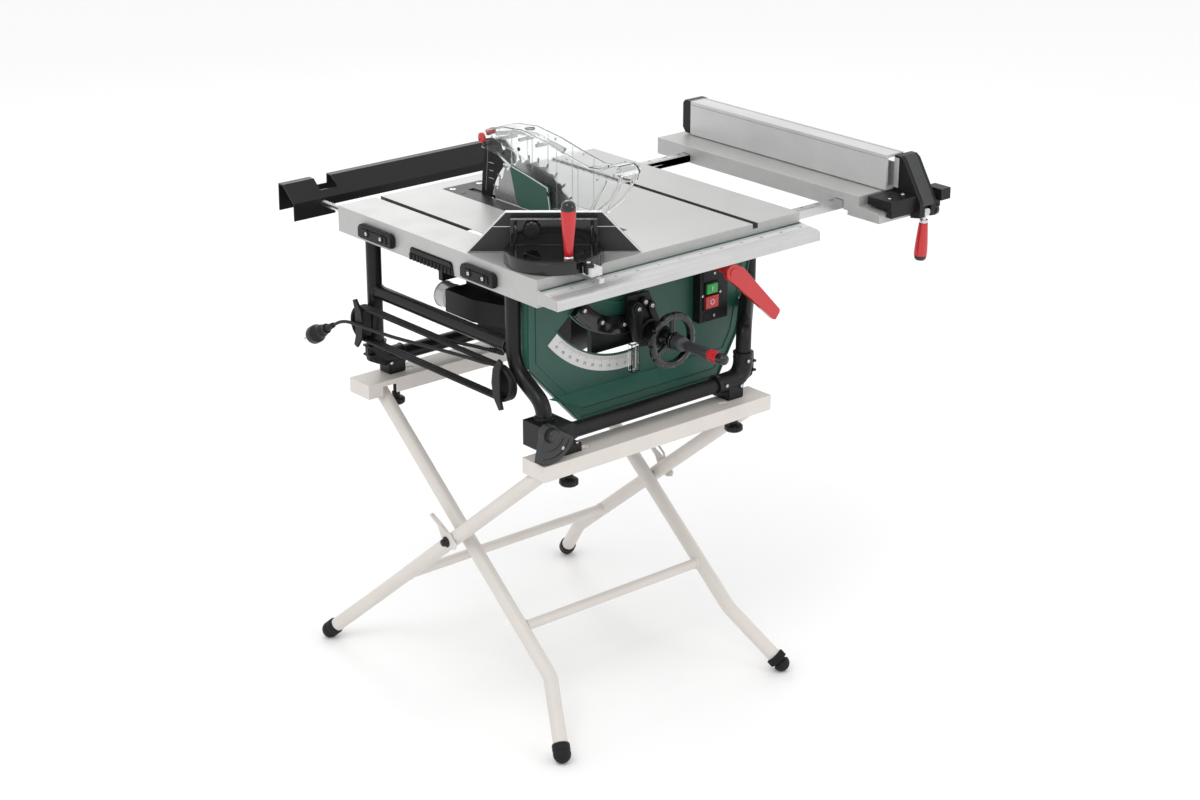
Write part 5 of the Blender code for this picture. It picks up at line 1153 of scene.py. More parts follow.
switch_screws = [((x, SWITCH_FACE - 0.0012, z), (0, -1, 0), (1, 0, 0), 0.9)
                 for x, z in ((0.211, 0.7850), (0.2255, 0.7460), (0.1815, 0.7460), (0.211, 0.7035))]
repeated("switch_screws", screw_head(0.0030, 0.0012), switch_screws, bright_steel, "chassis",
         turn_spread=1.5, seed=5)
refit("start_button", "start_key", push_green, "start_push", edge=0.0014, segments=3)
refit("stop_button", "stop_key", red_gloss, "stop_push", edge=0.0014, segments=3)
shape = bmesh.new()
block(shape, (0.2022, SWITCH_FACE - 0.0053, 0.7528), (0.2038, SWITCH_FACE - 0.0049, 0.7622), 0.0001)
settle("start_mark", shape, print_white, "start_push")
shape = bmesh.new()
hoop(shape, [(0.0040, 0), (0.0052, 0), (0.0052, 0.00035), (0.0040, 0.00035)],
     (0.203, SWITCH_FACE - 0.0049, 0.732), (0, -1, 0), 32)
settle("stop_mark", shape, print_white, "stop_push")

# ---- extension lock ------------------------------------------------------------------------------
# A broad glossy red lever on a shaft under the rail; its blade is hollowed a little on the face
# and its rim stands proud.

LOCK = (0.168, 0.8180)
refit("table_lock_lever", "lock_lever", red_gloss, "extension_lock", edge=0.0026, segments=4)
shape = bmesh.new()
lathe(shape, [(0.0085, -0.001), (0.0085, 0.0012), (0.0075, 0.0020), (0, 0.0020)],
      (LOCK[0], -0.2945, LOCK[1]), (0, -1, 0), 36)
settle("lock_boss", shape, red_gloss, "extension_lock")

# ---- tilt carriage -------------------------------------------------------------------------------
# The black coated trunnion behind the panel, its ribbed face plate outside it and the boss that
# carries the hand wheel. A clear pointer on the plate reads the scale.

carriage_black = surface("carriage_black", (0.0074, 0.0074, 0.0077), 0.34, shine=0.26, mottle=0.2,
                         mottle_size=0.015, grain=0.0010, bump=0.35)
refit("tilt_carriage", "trunnion", carriage_black, "tilt_unit", edge=0.0012, segments=2)
WHEEL = (0.050, 0.708)
PLATE_FACE = PANEL_FRONT - 0.0210
shape = bmesh.new()
for start, end in (((0.004, 0.748), (0.030, 0.692)), ((0.016, 0.772), (0.052, 0.700)),
                   ((0.034, 0.778), (0.068, 0.712))):
    way = (Vector(end) - Vector(start)).normalized()
    side = Vector((-way.y, way.x)) * 0.0016
    a, b = Vector(start), Vector(end)
    slab(shape, [tuple(a + side), tuple(b + side), tuple(b - side), tuple(a - side)], "y",
         PLATE_FACE - 0.0045, PLATE_FACE + 0.001, 0.0006)
for x, z in ((0.0340, 0.7700), (0.0500, 0.7600), (0.0120, 0.7360)):
    lathe(shape, [(0.0085, -0.001), (0.0085, 0.0075), (0.0076, 0.0088), (0, 0.0088)], (x, PLATE_FACE, z),
          (0, -1, 0), 28)
lathe(shape, [(0.0260, -0.001), (0.0260, 0.0060), (0.0232, 0.0080), (0.0226, 0.0080)],
      (WHEEL[0], PLATE_FACE, WHEEL[1]), (0, -1, 0), 40)
settle("trunnion_ribs", shape, carriage_black, "tilt_unit", sharp=45)
plate_screws = [((x, PLATE_FACE - 0.0088, z), (0, -1, 0), (1, 0, 0), 1.15) for x,
                z in ((0.0340, 0.7700), (0.0500, 0.7600))]
repeated("trunnion_screws", screw_head(0.0038, 0.0018), plate_screws, bright_steel, "tilt_unit",
         turn_spread=1.5, seed=6)

clear_plastic = bpy.data.materials.new("clear_polycarbonate")
clear_plastic.use_nodes = True
clear_nodes, clear_links = clear_plastic.node_tree.nodes, clear_plastic.node_tree.links
clear_shader = clear_nodes["Principled BSDF"]
clear_shader.inputs["Base Color"].default_value = (0.97, 0.98, 0.98, 1)
clear_shader.inputs["Transmission Weight"].default_value = 1.0
clear_shader.inputs["IOR"].default_value = 1.22
clear_where = clear_nodes.new("ShaderNodeTexCoord")
clear_wave = clear_nodes.new("ShaderNodeTexNoise")
clear_wave.inputs["Scale"].default_value = 38
clear_wave.inputs["Detail"].default_value = 2
clear_links.new(clear_where.outputs["Object"], clear_wave.inputs["Vector"])
clear_haze = clear_nodes.new("ShaderNodeMapRange")
clear_haze.inputs["To Min"].default_value = 0.02
clear_haze.inputs["To Max"].default_value = 0.10
clear_links.new(clear_wave.outputs["Fac"], clear_haze.inputs["Value"])
clear_links.new(clear_haze.outputs["Result"], clear_shader.inputs["Roughness"])
clear_bump = clear_nodes.new("ShaderNodeBump")
clear_bump.inputs["Strength"].default_value = 0.12
clear_bump.inputs["Distance"].default_value = 0.002
clear_links.new(clear_wave.outputs["Fac"], clear_bump.inputs["Height"])
clear_links.new(clear_bump.outputs["Normal"], clear_shader.inputs["Normal"])

shape = bmesh.new()
for x in (0.0010, 0.0175):
    block(shape, (x, PLATE_FACE - 0.0090, 0.6420), (x + 0.0025, PLATE_FACE + 0.0010, 0.6960), 0.0006)
block(shape, (0.0010, PLATE_FACE - 0.0090, 0.6420), (0.0200, PLATE_FACE - 0.0072, 0.6960), 0.0006)
for z in (0.6420, 0.6935):
    block(shape, (0.0010, PLATE_FACE - 0.0090, z), (0.0200, PLATE_FACE + 0.0010, z + 0.0025), 0.0006)
settle("tilt_pointer", shape, clear_plastic, "tilt_unit")
shape = bmesh.new()
block(shape, (0.0101, PLATE_FACE - 0.0070, 0.6440), (0.0109, PLATE_FACE - 0.0064, 0.6930))
settle("tilt_hairline", shape, red_gloss, "tilt_unit")

# ---- clamp lever ---------------------------------------------------------------------------------
# The black moulded lever that locks the tilt, ribbed down its face, on a bright cap screw.

CLAMP = (0.010, 0.7640)
CLAMP_FACE = PLATE_FACE - 0.0150
refit("bevel_clamp_lever", "clamp_lever", moulded_black, "bevel_clamp", edge=0.0024,
      segments=3)
shape = bmesh.new()
lathe(shape, [(0.0098, -0.001), (0.0098, 0.0030), (0.0086, 0.0042), (0, 0.0042)],
      (CLAMP[0], CLAMP_FACE, CLAMP[1]), (0, -1, 0), 32)
slab(shape, [(0.0090, 0.7520), (0.0160, 0.7520), (0.0198, 0.7040), (0.0128, 0.7040)], "y",
     CLAMP_FACE - 0.0016, CLAMP_FACE + 0.001, 0.0007)
settle("clamp_rib", shape, moulded_black, "bevel_clamp")
repeated("clamp_screw", screw_head(0.0042, 0.0020),
         [((CLAMP[0], CLAMP_FACE - 0.0042, CLAMP[1]), (0, -1, 0), (1, 0, 0), 1.0)],
         bright_steel, "bevel_clamp", seed=7)

# ---- hand wheel ----------------------------------------------------------------------------------
# A glossy black wheel with a thick notched rim, a round hub and three spokes, fixed on a steel
# tube that ends in the pinion.

shape = bmesh.new()
rim_section = [(0.0405, 0.0018), (0.0422, 0.0004), (0.0480, 0.0000), (0.0512, 0.0014), (0.0525, 0.0045),
               (0.0525, 0.0100),
               (0.0512, 0.0128), (0.0480, 0.0140), (0.0422, 0.0136), (0.0405, 0.0122)]
sides = 144
loops = []
for i in range(sides):
    angle = 2 * pi * i / sides
    notch = max(0.0, cos(12 * angle)) ** 10
    loop = []
    for radius, depth in rim_section:
        share = max(0.0, (radius - 0.045) / 0.0075)
        reach = radius - 0.0030 * notch * share
        loop.append(shape.verts.new((WHEEL[0] + reach * cos(angle), -0.2540 - depth,
                                     WHEEL[1] + reach * sin(angle))))
    loops.append(loop)
for i in range(sides):
    first, second = loops[i], loops[(i + 1) % sides]
    for k in range(len(rim_section)):
        n = (k + 1) % len(rim_section)
        shape.faces.new((first[k], first[n], second[n], second[k]))
for spoke in range(3):
    turn = radians(90 + 120 * spoke)
    out = Vector((cos(turn), 0, sin(turn)))
    centre = Vector((WHEEL[0], -0.2620, WHEEL[1]))
    pipe(shape, [centre + out * 0.012, centre + out * 0.026, centre + out * 0.0445],
         [0.0066, 0.0050, 0.0062], 20)
lathe(shape, [(0.0150, 0), (0.0170, 0.0012), (0.0170, 0.0240), (0.0158, 0.0256)],
      (WHEEL[0], -0.2443, WHEEL[1]), (0, -1, 0), 48)
bmesh.ops.recalc_face_normals(shape, faces=shape.faces)
wheel = settle("hand_wheel", shape, gloss_black, "handwheel", sharp=45)
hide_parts("tilt_handwheel")
shape = bmesh.new()
lathe(shape, [(0.0064, 0), (0.0064, 0.0600)], (WHEEL[0], -0.1850, WHEEL[1]), (0, -1, 0), 32)
teeth_profile = [(0.0084, 0), (0.0084, 0.0170)]
lathe(shape, teeth_profile, (WHEEL[0], -0.1800, WHEEL[1]), (0, -1, 0), 112, lambda angle,
      height: 1 - 0.13 * (0.5 + 0.5 * cos(14 * angle)))
settle("wheel_pinion", shape, bright_steel, "handwheel")

# ---- height crank --------------------------------------------------------------------------------
# The crank's round hub and short arm are moulded in black with the long fluted grey-black grip;
# a red band and a slotted black end cap finish it.

grip_grey = surface("grip_grey", (0.030, 0.031, 0.033), 0.42, mottle=0.15, grain=0.0008, bump=0.4)
grip_x, grip_z = WHEEL[0] + 0.010, WHEEL[1] - 0.005
shape = bmesh.new()
lathe(shape, [(0.0120, 0), (0.0145, 0.0014), (0.0145, 0.0185), (0.0128, 0.0222), (0.0090, 0.0240),
              (0, 0.0242)],
      (WHEEL[0], -0.2705, WHEEL[1]), (0, -1, 0), 48)
fluted = [(0.0135, 0), (0.0128, 0.006), (0.0096, 0.014), (0.0092, 0.022), (0.0096, 0.040), (0.0101, 0.060),
          (0.0105, 0.0735), (0.0100, 0.0745)]
lathe(shape, fluted, (grip_x, -0.2770, grip_z), (0, -1, 0), 96,
      lambda angle, height: 1 - (0.07 * max(0.0, cos(8 * angle)) ** 2 if 0.018 < height < 0.074 else 0))
crank_body = settle("crank_handle", shape, grip_grey, "crank", sharp=45)
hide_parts("height_crank")
shape = bmesh.new()
lathe(shape, [(0.0099, 0.0742), (0.0107, 0.0750), (0.0108, 0.0960), (0.0100, 0.0966)],
      (grip_x, -0.2770, grip_z), (0, -1, 0), 48)
settle("crank_band", shape, red_gloss, "crank")
shape = bmesh.new()
lathe(shape, [(0.0098, 0.0964), (0.0104, 0.0970), (0.0102, 0.1090), (0.0092, 0.1130), (0.0070, 0.1148),
              (0, 0.1150)],
      (grip_x, -0.2770, grip_z), (0, -1, 0), 48, lambda angle,
      height: 1 - (0.10 * (abs(cos(2 * angle)) > 0.93) if 0.098 < height < 0.112 else 0))
settle("crank_cap", shape, gloss_black, "crank")
shape = bmesh.new()
lathe(shape, [(0.0040, 0), (0.0040, 0.1430)], (WHEEL[0], -0.1320, WHEEL[1]), (0, -1, 0), 24)
lathe(shape, [(0.0110, 0), (0.0110, 0.0090)], (WHEEL[0], -0.1250, WHEEL[1]), (0, -1, 0), 96,
      lambda angle, height: 1 - 0.12 * (0.5 + 0.5 * cos(16 * angle)))
settle("crank_shaft", shape, bright_steel, "crank")

# ---- blade cover and dust port -------------------------------------------------------------------
# The black moulded pan below the table, open on the motor's side, with a chute that ends in a
# drawn steel dust port pressed over its mouth.

port_steel = surface("port_steel", (0.50, 0.50, 0.50), 0.34, metal=0.75, mottle=0.07, mottle_size=0.02,
                     grain=0.0013, stretch=(1, 0.1, 1),
                     bump=0.15)
cover = refit("lower_blade_cover", "blade_pan", moulded_black, "tilt_unit", edge=0.0012,
              segments=2)
part_faces(cover, [port_steel], lambda centre,
           normal: 1 if centre.y > 0.2536 and centre.z > 0.640 and centre.z < 0.712 else 0)
shape = bmesh.new()
for y in (0.2890, 0.2600):
    hoop(shape, [(0.0251, 0.0), (0.0262, 0.0008), (0.0262, 0.0022), (0.0251, 0.0030), (0.0245, 0.0015)],
         (-0.0445, y, 0.676), (0, 1, 0), 40)
settle("port_beads", shape, port_steel, "tilt_unit")
shape = bmesh.new()
for y in (0.000, 0.060, 0.120, 0.180):
    block(shape, (-0.0226, y, 0.640), (-0.0200, y + 0.0030, 0.815), 0.0006)
block(shape, (-0.0230, -0.055, 0.812), (-0.0200, 0.243, 0.818), 0.0008)
settle("pan_ribs", shape, moulded_black, "tilt_unit")

# ---- motor ---------------------------------------------------------------------------------------
# The universal motor in its black painted housing, with round fins on the barrel, an end bell
# with vents and the gear case that holds the arbor and the riving knife.

refit("motor", "motor_case", black_powder, "height_unit", edge=0.0014, segments=2)
MOTOR = (0.120, 0.782)
fin = bmesh.new()
hoop(fin, [(0.0405, -0.0009), (0.0432, -0.0006), (0.0432, 0.0006), (0.0405, 0.0009)], (0, 0, 0), (0, 0, 1))
repeated("motor_fins", fin, [((0.0900 + 0.0065 * i, *MOTOR), (1, 0, 0), (0, 0, 1), 1.0) for i in range(14)],
         black_powder, "height_unit")
# The vents are thin dark tiles on the end bell: painted shade where the openings are.
vent = bmesh.new()
block(vent, (-0.0013, 0.0090, -0.0004), (0.0013, 0.0250, 0.0006), 0.0003, 1)
repeated("motor_vents", vent, [((0.2250, *MOTOR), (1, 0, 0),
                                (0, cos(2 * pi * i / 16), sin(2 * pi * i / 16)), 1.0) for i in range(16)],
         vent_painted_shade, "height_unit")

# ---- saw blade -----------------------------------------------------------------------------------
# A 254 mm steel disc, ground in rings, with thirty brazed carbide tips, on an arbor with two
# bright flanges and a nut.

BLADE = (0.0105, 0.0775, 0.850)
blade_steel = bpy.data.materials.new("ring_ground_steel")
blade_steel.use_nodes = True
ring_nodes, ring_links = blade_steel.node_tree.nodes, blade_steel.node_tree.links
ring_shader = ring_nodes["Principled BSDF"]
ring_shader.inputs["Metallic"].default_value = 0.9
ring_shader.inputs["Anisotropic"].default_value = 0.4
ring_where = ring_nodes.new("ShaderNodeTexCoord")
ring_middle = ring_nodes.new("ShaderNodeMapping")
ring_middle.inputs["Location"].default_value = (-(BLADE[0] + BENCH.x), -(BLADE[1] + BENCH.y), -BLADE[2])
ring_links.new(ring_where.outputs["Object"], ring_middle.inputs["Vector"])
ring_reach = ring_nodes.new("ShaderNodeVectorMath")
ring_reach.operation = "LENGTH"
ring_links.new(ring_middle.outputs["Vector"], ring_reach.inputs[0])
ring_noise = ring_nodes.new("ShaderNodeTexNoise")
ring_noise.noise_dimensions = "1D"
ring_noise.inputs["Scale"].default_value = 900
ring_noise.inputs["Detail"].default_value = 4
ring_links.new(ring_reach.outputs["Value"], ring_noise.inputs["W"])
ring_tone = ring_nodes.new("ShaderNodeMix")
ring_tone.data_type = "RGBA"
ring_tone.inputs["A"].default_value = (0.42, 0.42, 0.43, 1)
ring_tone.inputs["B"].default_value = (0.62, 0.62, 0.63, 1)
ring_links.new(ring_noise.outputs["Fac"], ring_tone.inputs["Factor"])
ring_links.new(ring_tone.outputs["Result"], ring_shader.inputs["Base Color"])
ring_rough = ring_nodes.new("ShaderNodeMapRange")
ring_rough.inputs["To Min"].default_value = 0.20
ring_rough.inputs["To Max"].default_value = 0.38
ring_links.new(ring_noise.outputs["Fac"], ring_rough.inputs["Value"])
ring_links.new(ring_rough.outputs["Result"], ring_shader.inputs["Roughness"])
refit("saw_blade", "blade_disc", blade_steel, "blade", edge=0.0)
tip = bmesh.new()
slab(tip, [(-0.0022, -0.0075), (0.0003, -0.0078), (0.0006, 0.0), (-0.0018, -0.0006)], "z", -0.00155,
     0.00155, 0.0002, 1)
tips = []
for i in range(30):
    angle = 2 * pi * (i + 0.98) / 30
    out = Vector((0, cos(angle), sin(angle)))
    along = Vector((0, -sin(angle), cos(angle)))
    tips.append((Vector(BLADE) + out * 0.1270, (1, 0, 0), along, 1.0))
carbide = surface("carbide", (0.30, 0.30, 0.31), 0.30, metal=0.9, mottle=0.1, grain=0.0008, bump=0.1)
repeated("carbide_tips", tip, tips, carbide, "blade")
refit("arbor_and_nut", "arbor", bright_steel, "blade", edge=0.0005)

# ---- riving knife --------------------------------------------------------------------------------
# A black coated steel plate behind the blade that carries the hood; a row of small bright
# punched marks runs up its back edge.

refit("riving_knife", "knife", black_powder, "height_unit", edge=0.0005, segments=2)
mark = bmesh.new()
lathe(mark, [(0.0007, -0.0001), (0.0007, 0.00025), (0, 0.0003)], (0, 0, 0), (0, 0, 1), 12)
marks = []
for i in range(22):
    for side in (-1, 1):
        marks.append(((0.0105 + side * 0.0011, 0.2235 - 0.00045 * i, 0.8900 + 0.0043 * i), (side, 0, 0),
                      (0, 1, 0), 1.0))
repeated("knife_marks", mark, marks, print_white, "height_unit")
shape = bmesh.new()
for side in (-1, 1):
    for z, half in ((0.915, 0.0075), (0.930, 0.0060), (0.945, 0.0075)):
        block(shape, (0.0105 + side * 0.00112 - 0.00004, 0.2060 - half, z),
              (0.0105 + side * 0.00112 + 0.00004, 0.2060 + half, z + 0.0008))
settle("knife_bars", shape, print_white, "height_unit")

# ---- blade hood ----------------------------------------------------------------------------------
# A clear polycarbonate hood over the blade, its halves ribbed and screwed together, with a
# rounded nose bar, a red release cap at the back and a black knob on the roof.

refit("blade_guard", "clear_hood", clear_plastic, "hood", edge=0.0008, segments=2)
smoky_plastic = bpy.data.materials.new("smoky_polycarbonate")
smoky_plastic.use_nodes = True
smoky_nodes, smoky_links = smoky_plastic.node_tree.nodes, smoky_plastic.node_tree.links
smoky_shader = smoky_nodes["Principled BSDF"]
smoky_shader.inputs["Transmission Weight"].default_value = 0.75
smoky_shader.inputs["IOR"].default_value = 1.3
smoky_where = smoky_nodes.new("ShaderNodeTexCoord")
smoky_drift = smoky_nodes.new("ShaderNodeTexNoise")
smoky_drift.inputs["Scale"].default_value = 60
smoky_links.new(smoky_where.outputs["Object"], smoky_drift.inputs["Vector"])
smoky_tone = smoky_nodes.new("ShaderNodeMix")
smoky_tone.data_type = "RGBA"
smoky_tone.inputs["A"].default_value = (0.55, 0.56, 0.57, 1)
smoky_tone.inputs["B"].default_value = (0.92, 0.93, 0.93, 1)
smoky_links.new(smoky_drift.outputs["Fac"], smoky_tone.inputs["Factor"])
smoky_links.new(smoky_tone.outputs["Result"], smoky_shader.inputs["Base Color"])
smoky_rough = smoky_nodes.new("ShaderNodeMapRange")
smoky_rough.inputs["To Min"].default_value = 0.05
smoky_rough.inputs["To Max"].default_value = 0.25
smoky_links.new(smoky_drift.outputs["Fac"], smoky_rough.inputs["Value"])
smoky_links.new(smoky_rough.outputs["Result"], smoky_shader.inputs["Roughness"])

HOOD_X = (-0.0095, 0.0305)
roof = [(0.1950, 1.0160), (0.1500, 1.0300), (0.0900, 1.0359), (0.0200, 1.0280), (-0.0500, 1.0140),
        (-0.1000, 1.0060), (-0.1350, 1.0090),
        (-0.1550, 1.0200)]
shape = bmesh.new()
for x in (HOOD_X[0] + 0.0006, HOOD_X[1] - 0.0006):
    pipe(shape, bent_path([(x, y, z - 0.0015) for y, z in roof], 0.03, 4), 0.0019, 10)
    pipe(shape, [(x, 0.1630, 0.9775), (x, 0.0000, 0.9060), (x, -0.0790, 0.9090), (x, -0.1000, 0.9190),
                 (x, -0.1490, 0.9895)], 0.0016, 10)
for y, low, high in ((0.120, 0.962, 1.024), (0.060, 0.935, 1.027), (-0.010, 0.909, 1.017),
                     (-0.070, 0.911, 1.006)):
    for x in (HOOD_X[0] + 0.0012, HOOD_X[1] - 0.0012):
        block(shape, (x - 0.0006, y - 0.0010, low), (x + 0.0006, y + 0.0010, high), 0.0003, 1)
settle("hood_beads", shape, clear_plastic, "hood")
shape = bmesh.new()
lathe(shape, [(0.0066, 0), (0.0078, 0.0010), (0.0078, 0.0450), (0.0066, 0.0460)],
      (-0.0125, -0.1860, 1.0130), (1, 0, 0), 32)
for x in (HOOD_X[0] + 0.004, HOOD_X[1] - 0.004):
    pipe(shape, bent_path([(x, -0.1840, 1.0080), (x, -0.1790, 0.9850), (x, -0.1560, 0.9530),
                           (x, -0.1130, 0.9190)], 0.05, 8), 0.0032, 12)
settle("hood_nose", shape, clear_plastic, "hood")
shape = bmesh.new()
pipe(shape, bent_path([(0.0105, 0.1880, 1.0060), (0.0105, 0.1300, 1.0200), (0.0105, 0.0700, 1.0260),
                       (0.0105, -0.0100, 1.0140)], 0.05, 6),
     0.0042, 14)
for y, z in ((0.150, 1.0040), (0.100, 1.0110), (0.050, 1.0100)):
    block(shape, (-0.0070, y - 0.0030, z), (0.0280, y + 0.0030, z + 0.0060), 0.0010)
settle("hood_core", shape, smoky_plastic, "hood", sharp=50)
shape = bmesh.new()
lathe(shape, [(0.0075, 0), (0.0098, 0.0012), (0.0102, 0.0060), (0.0092, 0.0092), (0.0060, 0.0110),
              (0, 0.0114)], (0.0105, 0.2030, 1.0020),
      (0, 0.55, 0.84), 32)
lathe(shape, [(0.0085, 0), (0.0100, 0.0010), (0.0100, 0.0045), (0.0080, 0.0058), (0, 0.0060)],
      (-0.0097, 0.2050, 0.9980), (-1, 0, 0), 32)
settle("hood_release", shape, red_gloss, "hood")
shape = bmesh.new()
lathe(shape, [(0.0100, -0.0030), (0.0100, -0.0004), (0.0084, 0.0), (0, 0.0)], (0.0105, 0.0900, 1.0355),
      (0, 0, 1), 40,
      lambda angle, height: 1 - (0.05 * (cos(12 * angle) > 0.3)))
lathe(shape, [(0.0048, 0), (0.0048, 0.0410)], (-0.0100, 0.2050, 0.9850), (1, 0, 0), 24)
for y, z in ((-0.0900, 0.9100), (0.1480, 0.9800)):
    lathe(shape, [(0.0040, 0), (0.0040, 0.0012), (0.0030, 0.0018), (0, 0.0018)], (HOOD_X[0], y, z),
          (-1, 0, 0), 20)
    lathe(shape, [(0.0040, 0), (0.0040, 0.0012), (0.0030, 0.0018), (0, 0.0018)], (HOOD_X[1], y, z),
          (1, 0, 0), 20)
settle("hood_fixings", shape, gloss_black, "hood")
hood_screws = []
for side, x in ((-1, HOOD_X[0]), (1, HOOD_X[1])):
    for y, z in ((0.1780, 1.0050), (0.1300, 1.0150), (0.0400, 1.0210), (-0.0400, 1.0080), (-0.1250, 0.9880),
                 (-0.1430, 1.0020)):
        hood_screws.append(((x, y, z), (side, 0, 0), (0, 1, 0), 0.9))
repeated("hood_screws", screw_head(0.0032, 0.0014), hood_screws, bright_steel, "hood",
         turn_spread=1.5, seed=9)

# ---- side flap -----------------------------------------------------------------------------------
# The dark green guard flap hung on the hood's left side by a black pin, with a painted
# highlight, a thin white bead, along its edges.

refit("guard_flap", "flap_plate", panel_green, "flap", edge=0.0007, segments=2)
shape = bmesh.new()
# A thin white tube along the flap's edge: painted highlight on the bevel.
flap_line = [(0.0040, 0.8930), (0.0128, 0.9420), (0.0300, 0.9455), (0.0700, 0.9535), (0.1160, 0.9610)]
pipe(shape, [(-0.0125, y, z) for y, z in flap_line], 0.0011, 10, ends=0.0004)
settle("flap_bead", shape, scale_white, "flap")
shape = bmesh.new()
lathe(shape, [(0.0042, 0), (0.0042, 0.0014), (0.0034, 0.0022), (0, 0.0022)], (-0.0122, 0.0100, 0.9320),
      (-1, 0, 0), 24)
settle("flap_pin", shape, gloss_black, "flap")

# ---- side extension ------------------------------------------------------------------------------
# A cast aluminium extension table on two flat ground rails, marked with a millimetre scale,
# which slide out of the right skirt.

extension = refit("right_extension", "side_extension", table_ground, "right_extension_body",
                  edge=0.0010)
part_faces(extension, [cast_side], lambda centre, normal: 0 if normal.z > 0.5 else 1)
refit("extension_rails", "side_rails", bright_steel, "right_extension_body", edge=0.0009)
side_ticks = []
side_digits = bmesh.new()
for y in (-0.195, 0.238):
    for i in range(0, 66):
        x = 0.2600 + 0.004 * i
        long = 0.0075 if i % 5 == 0 else 0.0045
        side_ticks.append(((x, y - 0.0105, 0.86405), (0, 0, 1), (1, 0, 0), (1, long, 1)))
        if i % 10 == 5:
            written("%d" % (2 * i), Vector((x, y + 0.0035, 0.86410)), 0.0064, (1, 0, 0), (0, 1, 0),
                    side_digits)
repeated("side_rail_ticks", tick, side_ticks, print_black, "right_extension_body")
settle("side_rail_numbers", side_digits, print_black, "right_extension_body")

# ---- rip fence -----------------------------------------------------------------------------------
# An anodised aluminium extrusion with a black end cap, clamped by a black head that hooks over
# the rail. Its cam handle hangs in front: bright ferrule, red grip, black tip.

fence_skin = ground_metal("fence_anodised", (0.60, 0.60, 0.60), 0.36, "y", metal=0.40, lines=0.0022)
fence = refit("fence_profile", "fence_bar", fence_skin, "fence", edge=0.0005)
part_faces(fence, [moulded_black], lambda centre, normal: 1 if centre.y > 0.2952 else 0)
shape = bmesh.new()
# Two thin dark strips on the fence's top stand in its grooves: painted shade.
block(shape, (0.6385, -0.2554, 0.9506), (0.6397, 0.2950, 0.9512))
block(shape, (0.6000, -0.2550, 0.9440), (0.6004, 0.2945, 0.9446))
settle("fence_grooves", shape, slot_painted_shade, "fence")
refit("fence_head", "clamp_head", moulded_black, "fence", edge=0.0030, segments=4)
shape = bmesh.new()
slab(shape, [(-0.2562, 0.8860), (-0.2562, 0.9440), (-0.2680, 0.9440), (-0.2680, 0.8860)], "x", 0.6206,
     0.6224, 0.0005)
settle("head_plate", shape, fence_skin, "fence")
shape = bmesh.new()
slab(shape, [(-0.2720, 0.9462), (-0.2790, 0.9410), (-0.3235, 0.8690), (-0.3262, 0.8600), (-0.3268, 0.8640),
             (-0.3250, 0.8700),
             (-0.2795, 0.9430), (-0.2722, 0.9482)], "x", 0.6300, 0.6600, 0.0004)
settle("head_strip", shape, grip_grey, "fence")
shape = bmesh.new()
lathe(shape, [(0.0120, 0), (0.0120, 0.0070), (0.0108, 0.0082), (0.0070, 0.0082), (0.0066, 0.0030),
              (0, 0.0030)],
      (0.6680, -0.3160, 0.8460), (1, 0, 0), 36)
settle("head_bearing", shape, gloss_black, "fence")
repeated("head_screws", screw_head(0.0036, 0.0016), [((0.6120, -0.2900, 0.8800), (0, 0, 1), (1, 0, 0), 1.2),
                                                     ((0.5700, -0.2950, 0.8800), (0, 0, 1), (1, 0, 0), 0.9)],
         bright_steel, "fence", turn_spread=1.5, seed=10)

grip_way = Vector((0, 0.06, -1)).normalized()
grip_top = Vector((0.645, -0.3160, 0.8250))
shape = bmesh.new()
lathe(shape, [(0.0085, 0), (0.0100, 0.0014), (0.0100, 0.0142), (0.0085, 0.0156)], (0.6372, -0.3160, 0.8460),
      (1, 0, 0), 36)
pipe(shape, [(0.645, -0.3160, 0.8420), (0.645, -0.3160, 0.8240)], 0.0050, 24)
lathe(shape, [(0.0078, -0.0052), (0.0080, -0.0040), (0.0080, 0.0006), (0.0074, 0.0014)], grip_top, grip_way,
      32)
handle_metal = settle("handle_neck", shape, bright_steel, "fence_clamp")
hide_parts("fence_handle")
shape = bmesh.new()
lathe(shape, [(0.0070, 0.0010), (0.0088, 0.0022), (0.0092, 0.0060), (0.0108, 0.0240), (0.0124, 0.0440),
              (0.0130, 0.0590), (0.0129, 0.0665),
              (0.0120, 0.0674)], grip_top, grip_way, 56, lambda angle,
      height: 1 - 0.012 * (0.5 + 0.5 * cos(6 * angle)))
settle("handle_grip", shape, red_gloss, "fence_clamp")
shape = bmesh.new()
lathe(shape, [(0.0116, 0.0670), (0.0124, 0.0680), (0.0118, 0.0728), (0.0095, 0.0758), (0.0050, 0.0769),
              (0, 0.0770)], grip_top, grip_way, 48)
settle("handle_tip", shape, gloss_black, "fence_clamp")

# ---- rear extension ------------------------------------------------------------------------------
# A folded steel sheet, powder coated black and notched in line with the mitre slots, on two
# bright round rods that slide into the table's back.

sheet_black = surface("sheet_black", (0.0077, 0.0081, 0.0087), 0.34, shine=0.26, mottle=0.14,
                      mottle_size=0.05, grain=0.0011, bump=0.28)
outfeed = refit("rear_extension", "outfeed_sheet", sheet_black, "rear_extension_body",
                edge=0.0011, segments=3)
part_faces(outfeed, [bright_steel], lambda centre,
           normal: 1 if centre.y < 0.4948 and abs(centre.z - 0.839) < 0.0075 else 0)
shape = bmesh.new()
for x in (-0.205, 0.262):
    block(shape, (x - 0.010, 0.4965, 0.8130), (x + 0.010, 0.4995, 0.8180), 0.0008)
sheet_bolts = [((x, 0.4974, 0.8390), (0, 1, 0), (1, 0, 0), 1.3) for x in (-0.180, 0.250)]
settle("sheet_lips", shape, sheet_black, "rear_extension_body")
repeated("sheet_bolts", screw_head(0.0045, 0.0026), sheet_bolts, bright_steel, "rear_extension_body",
         seed=11)

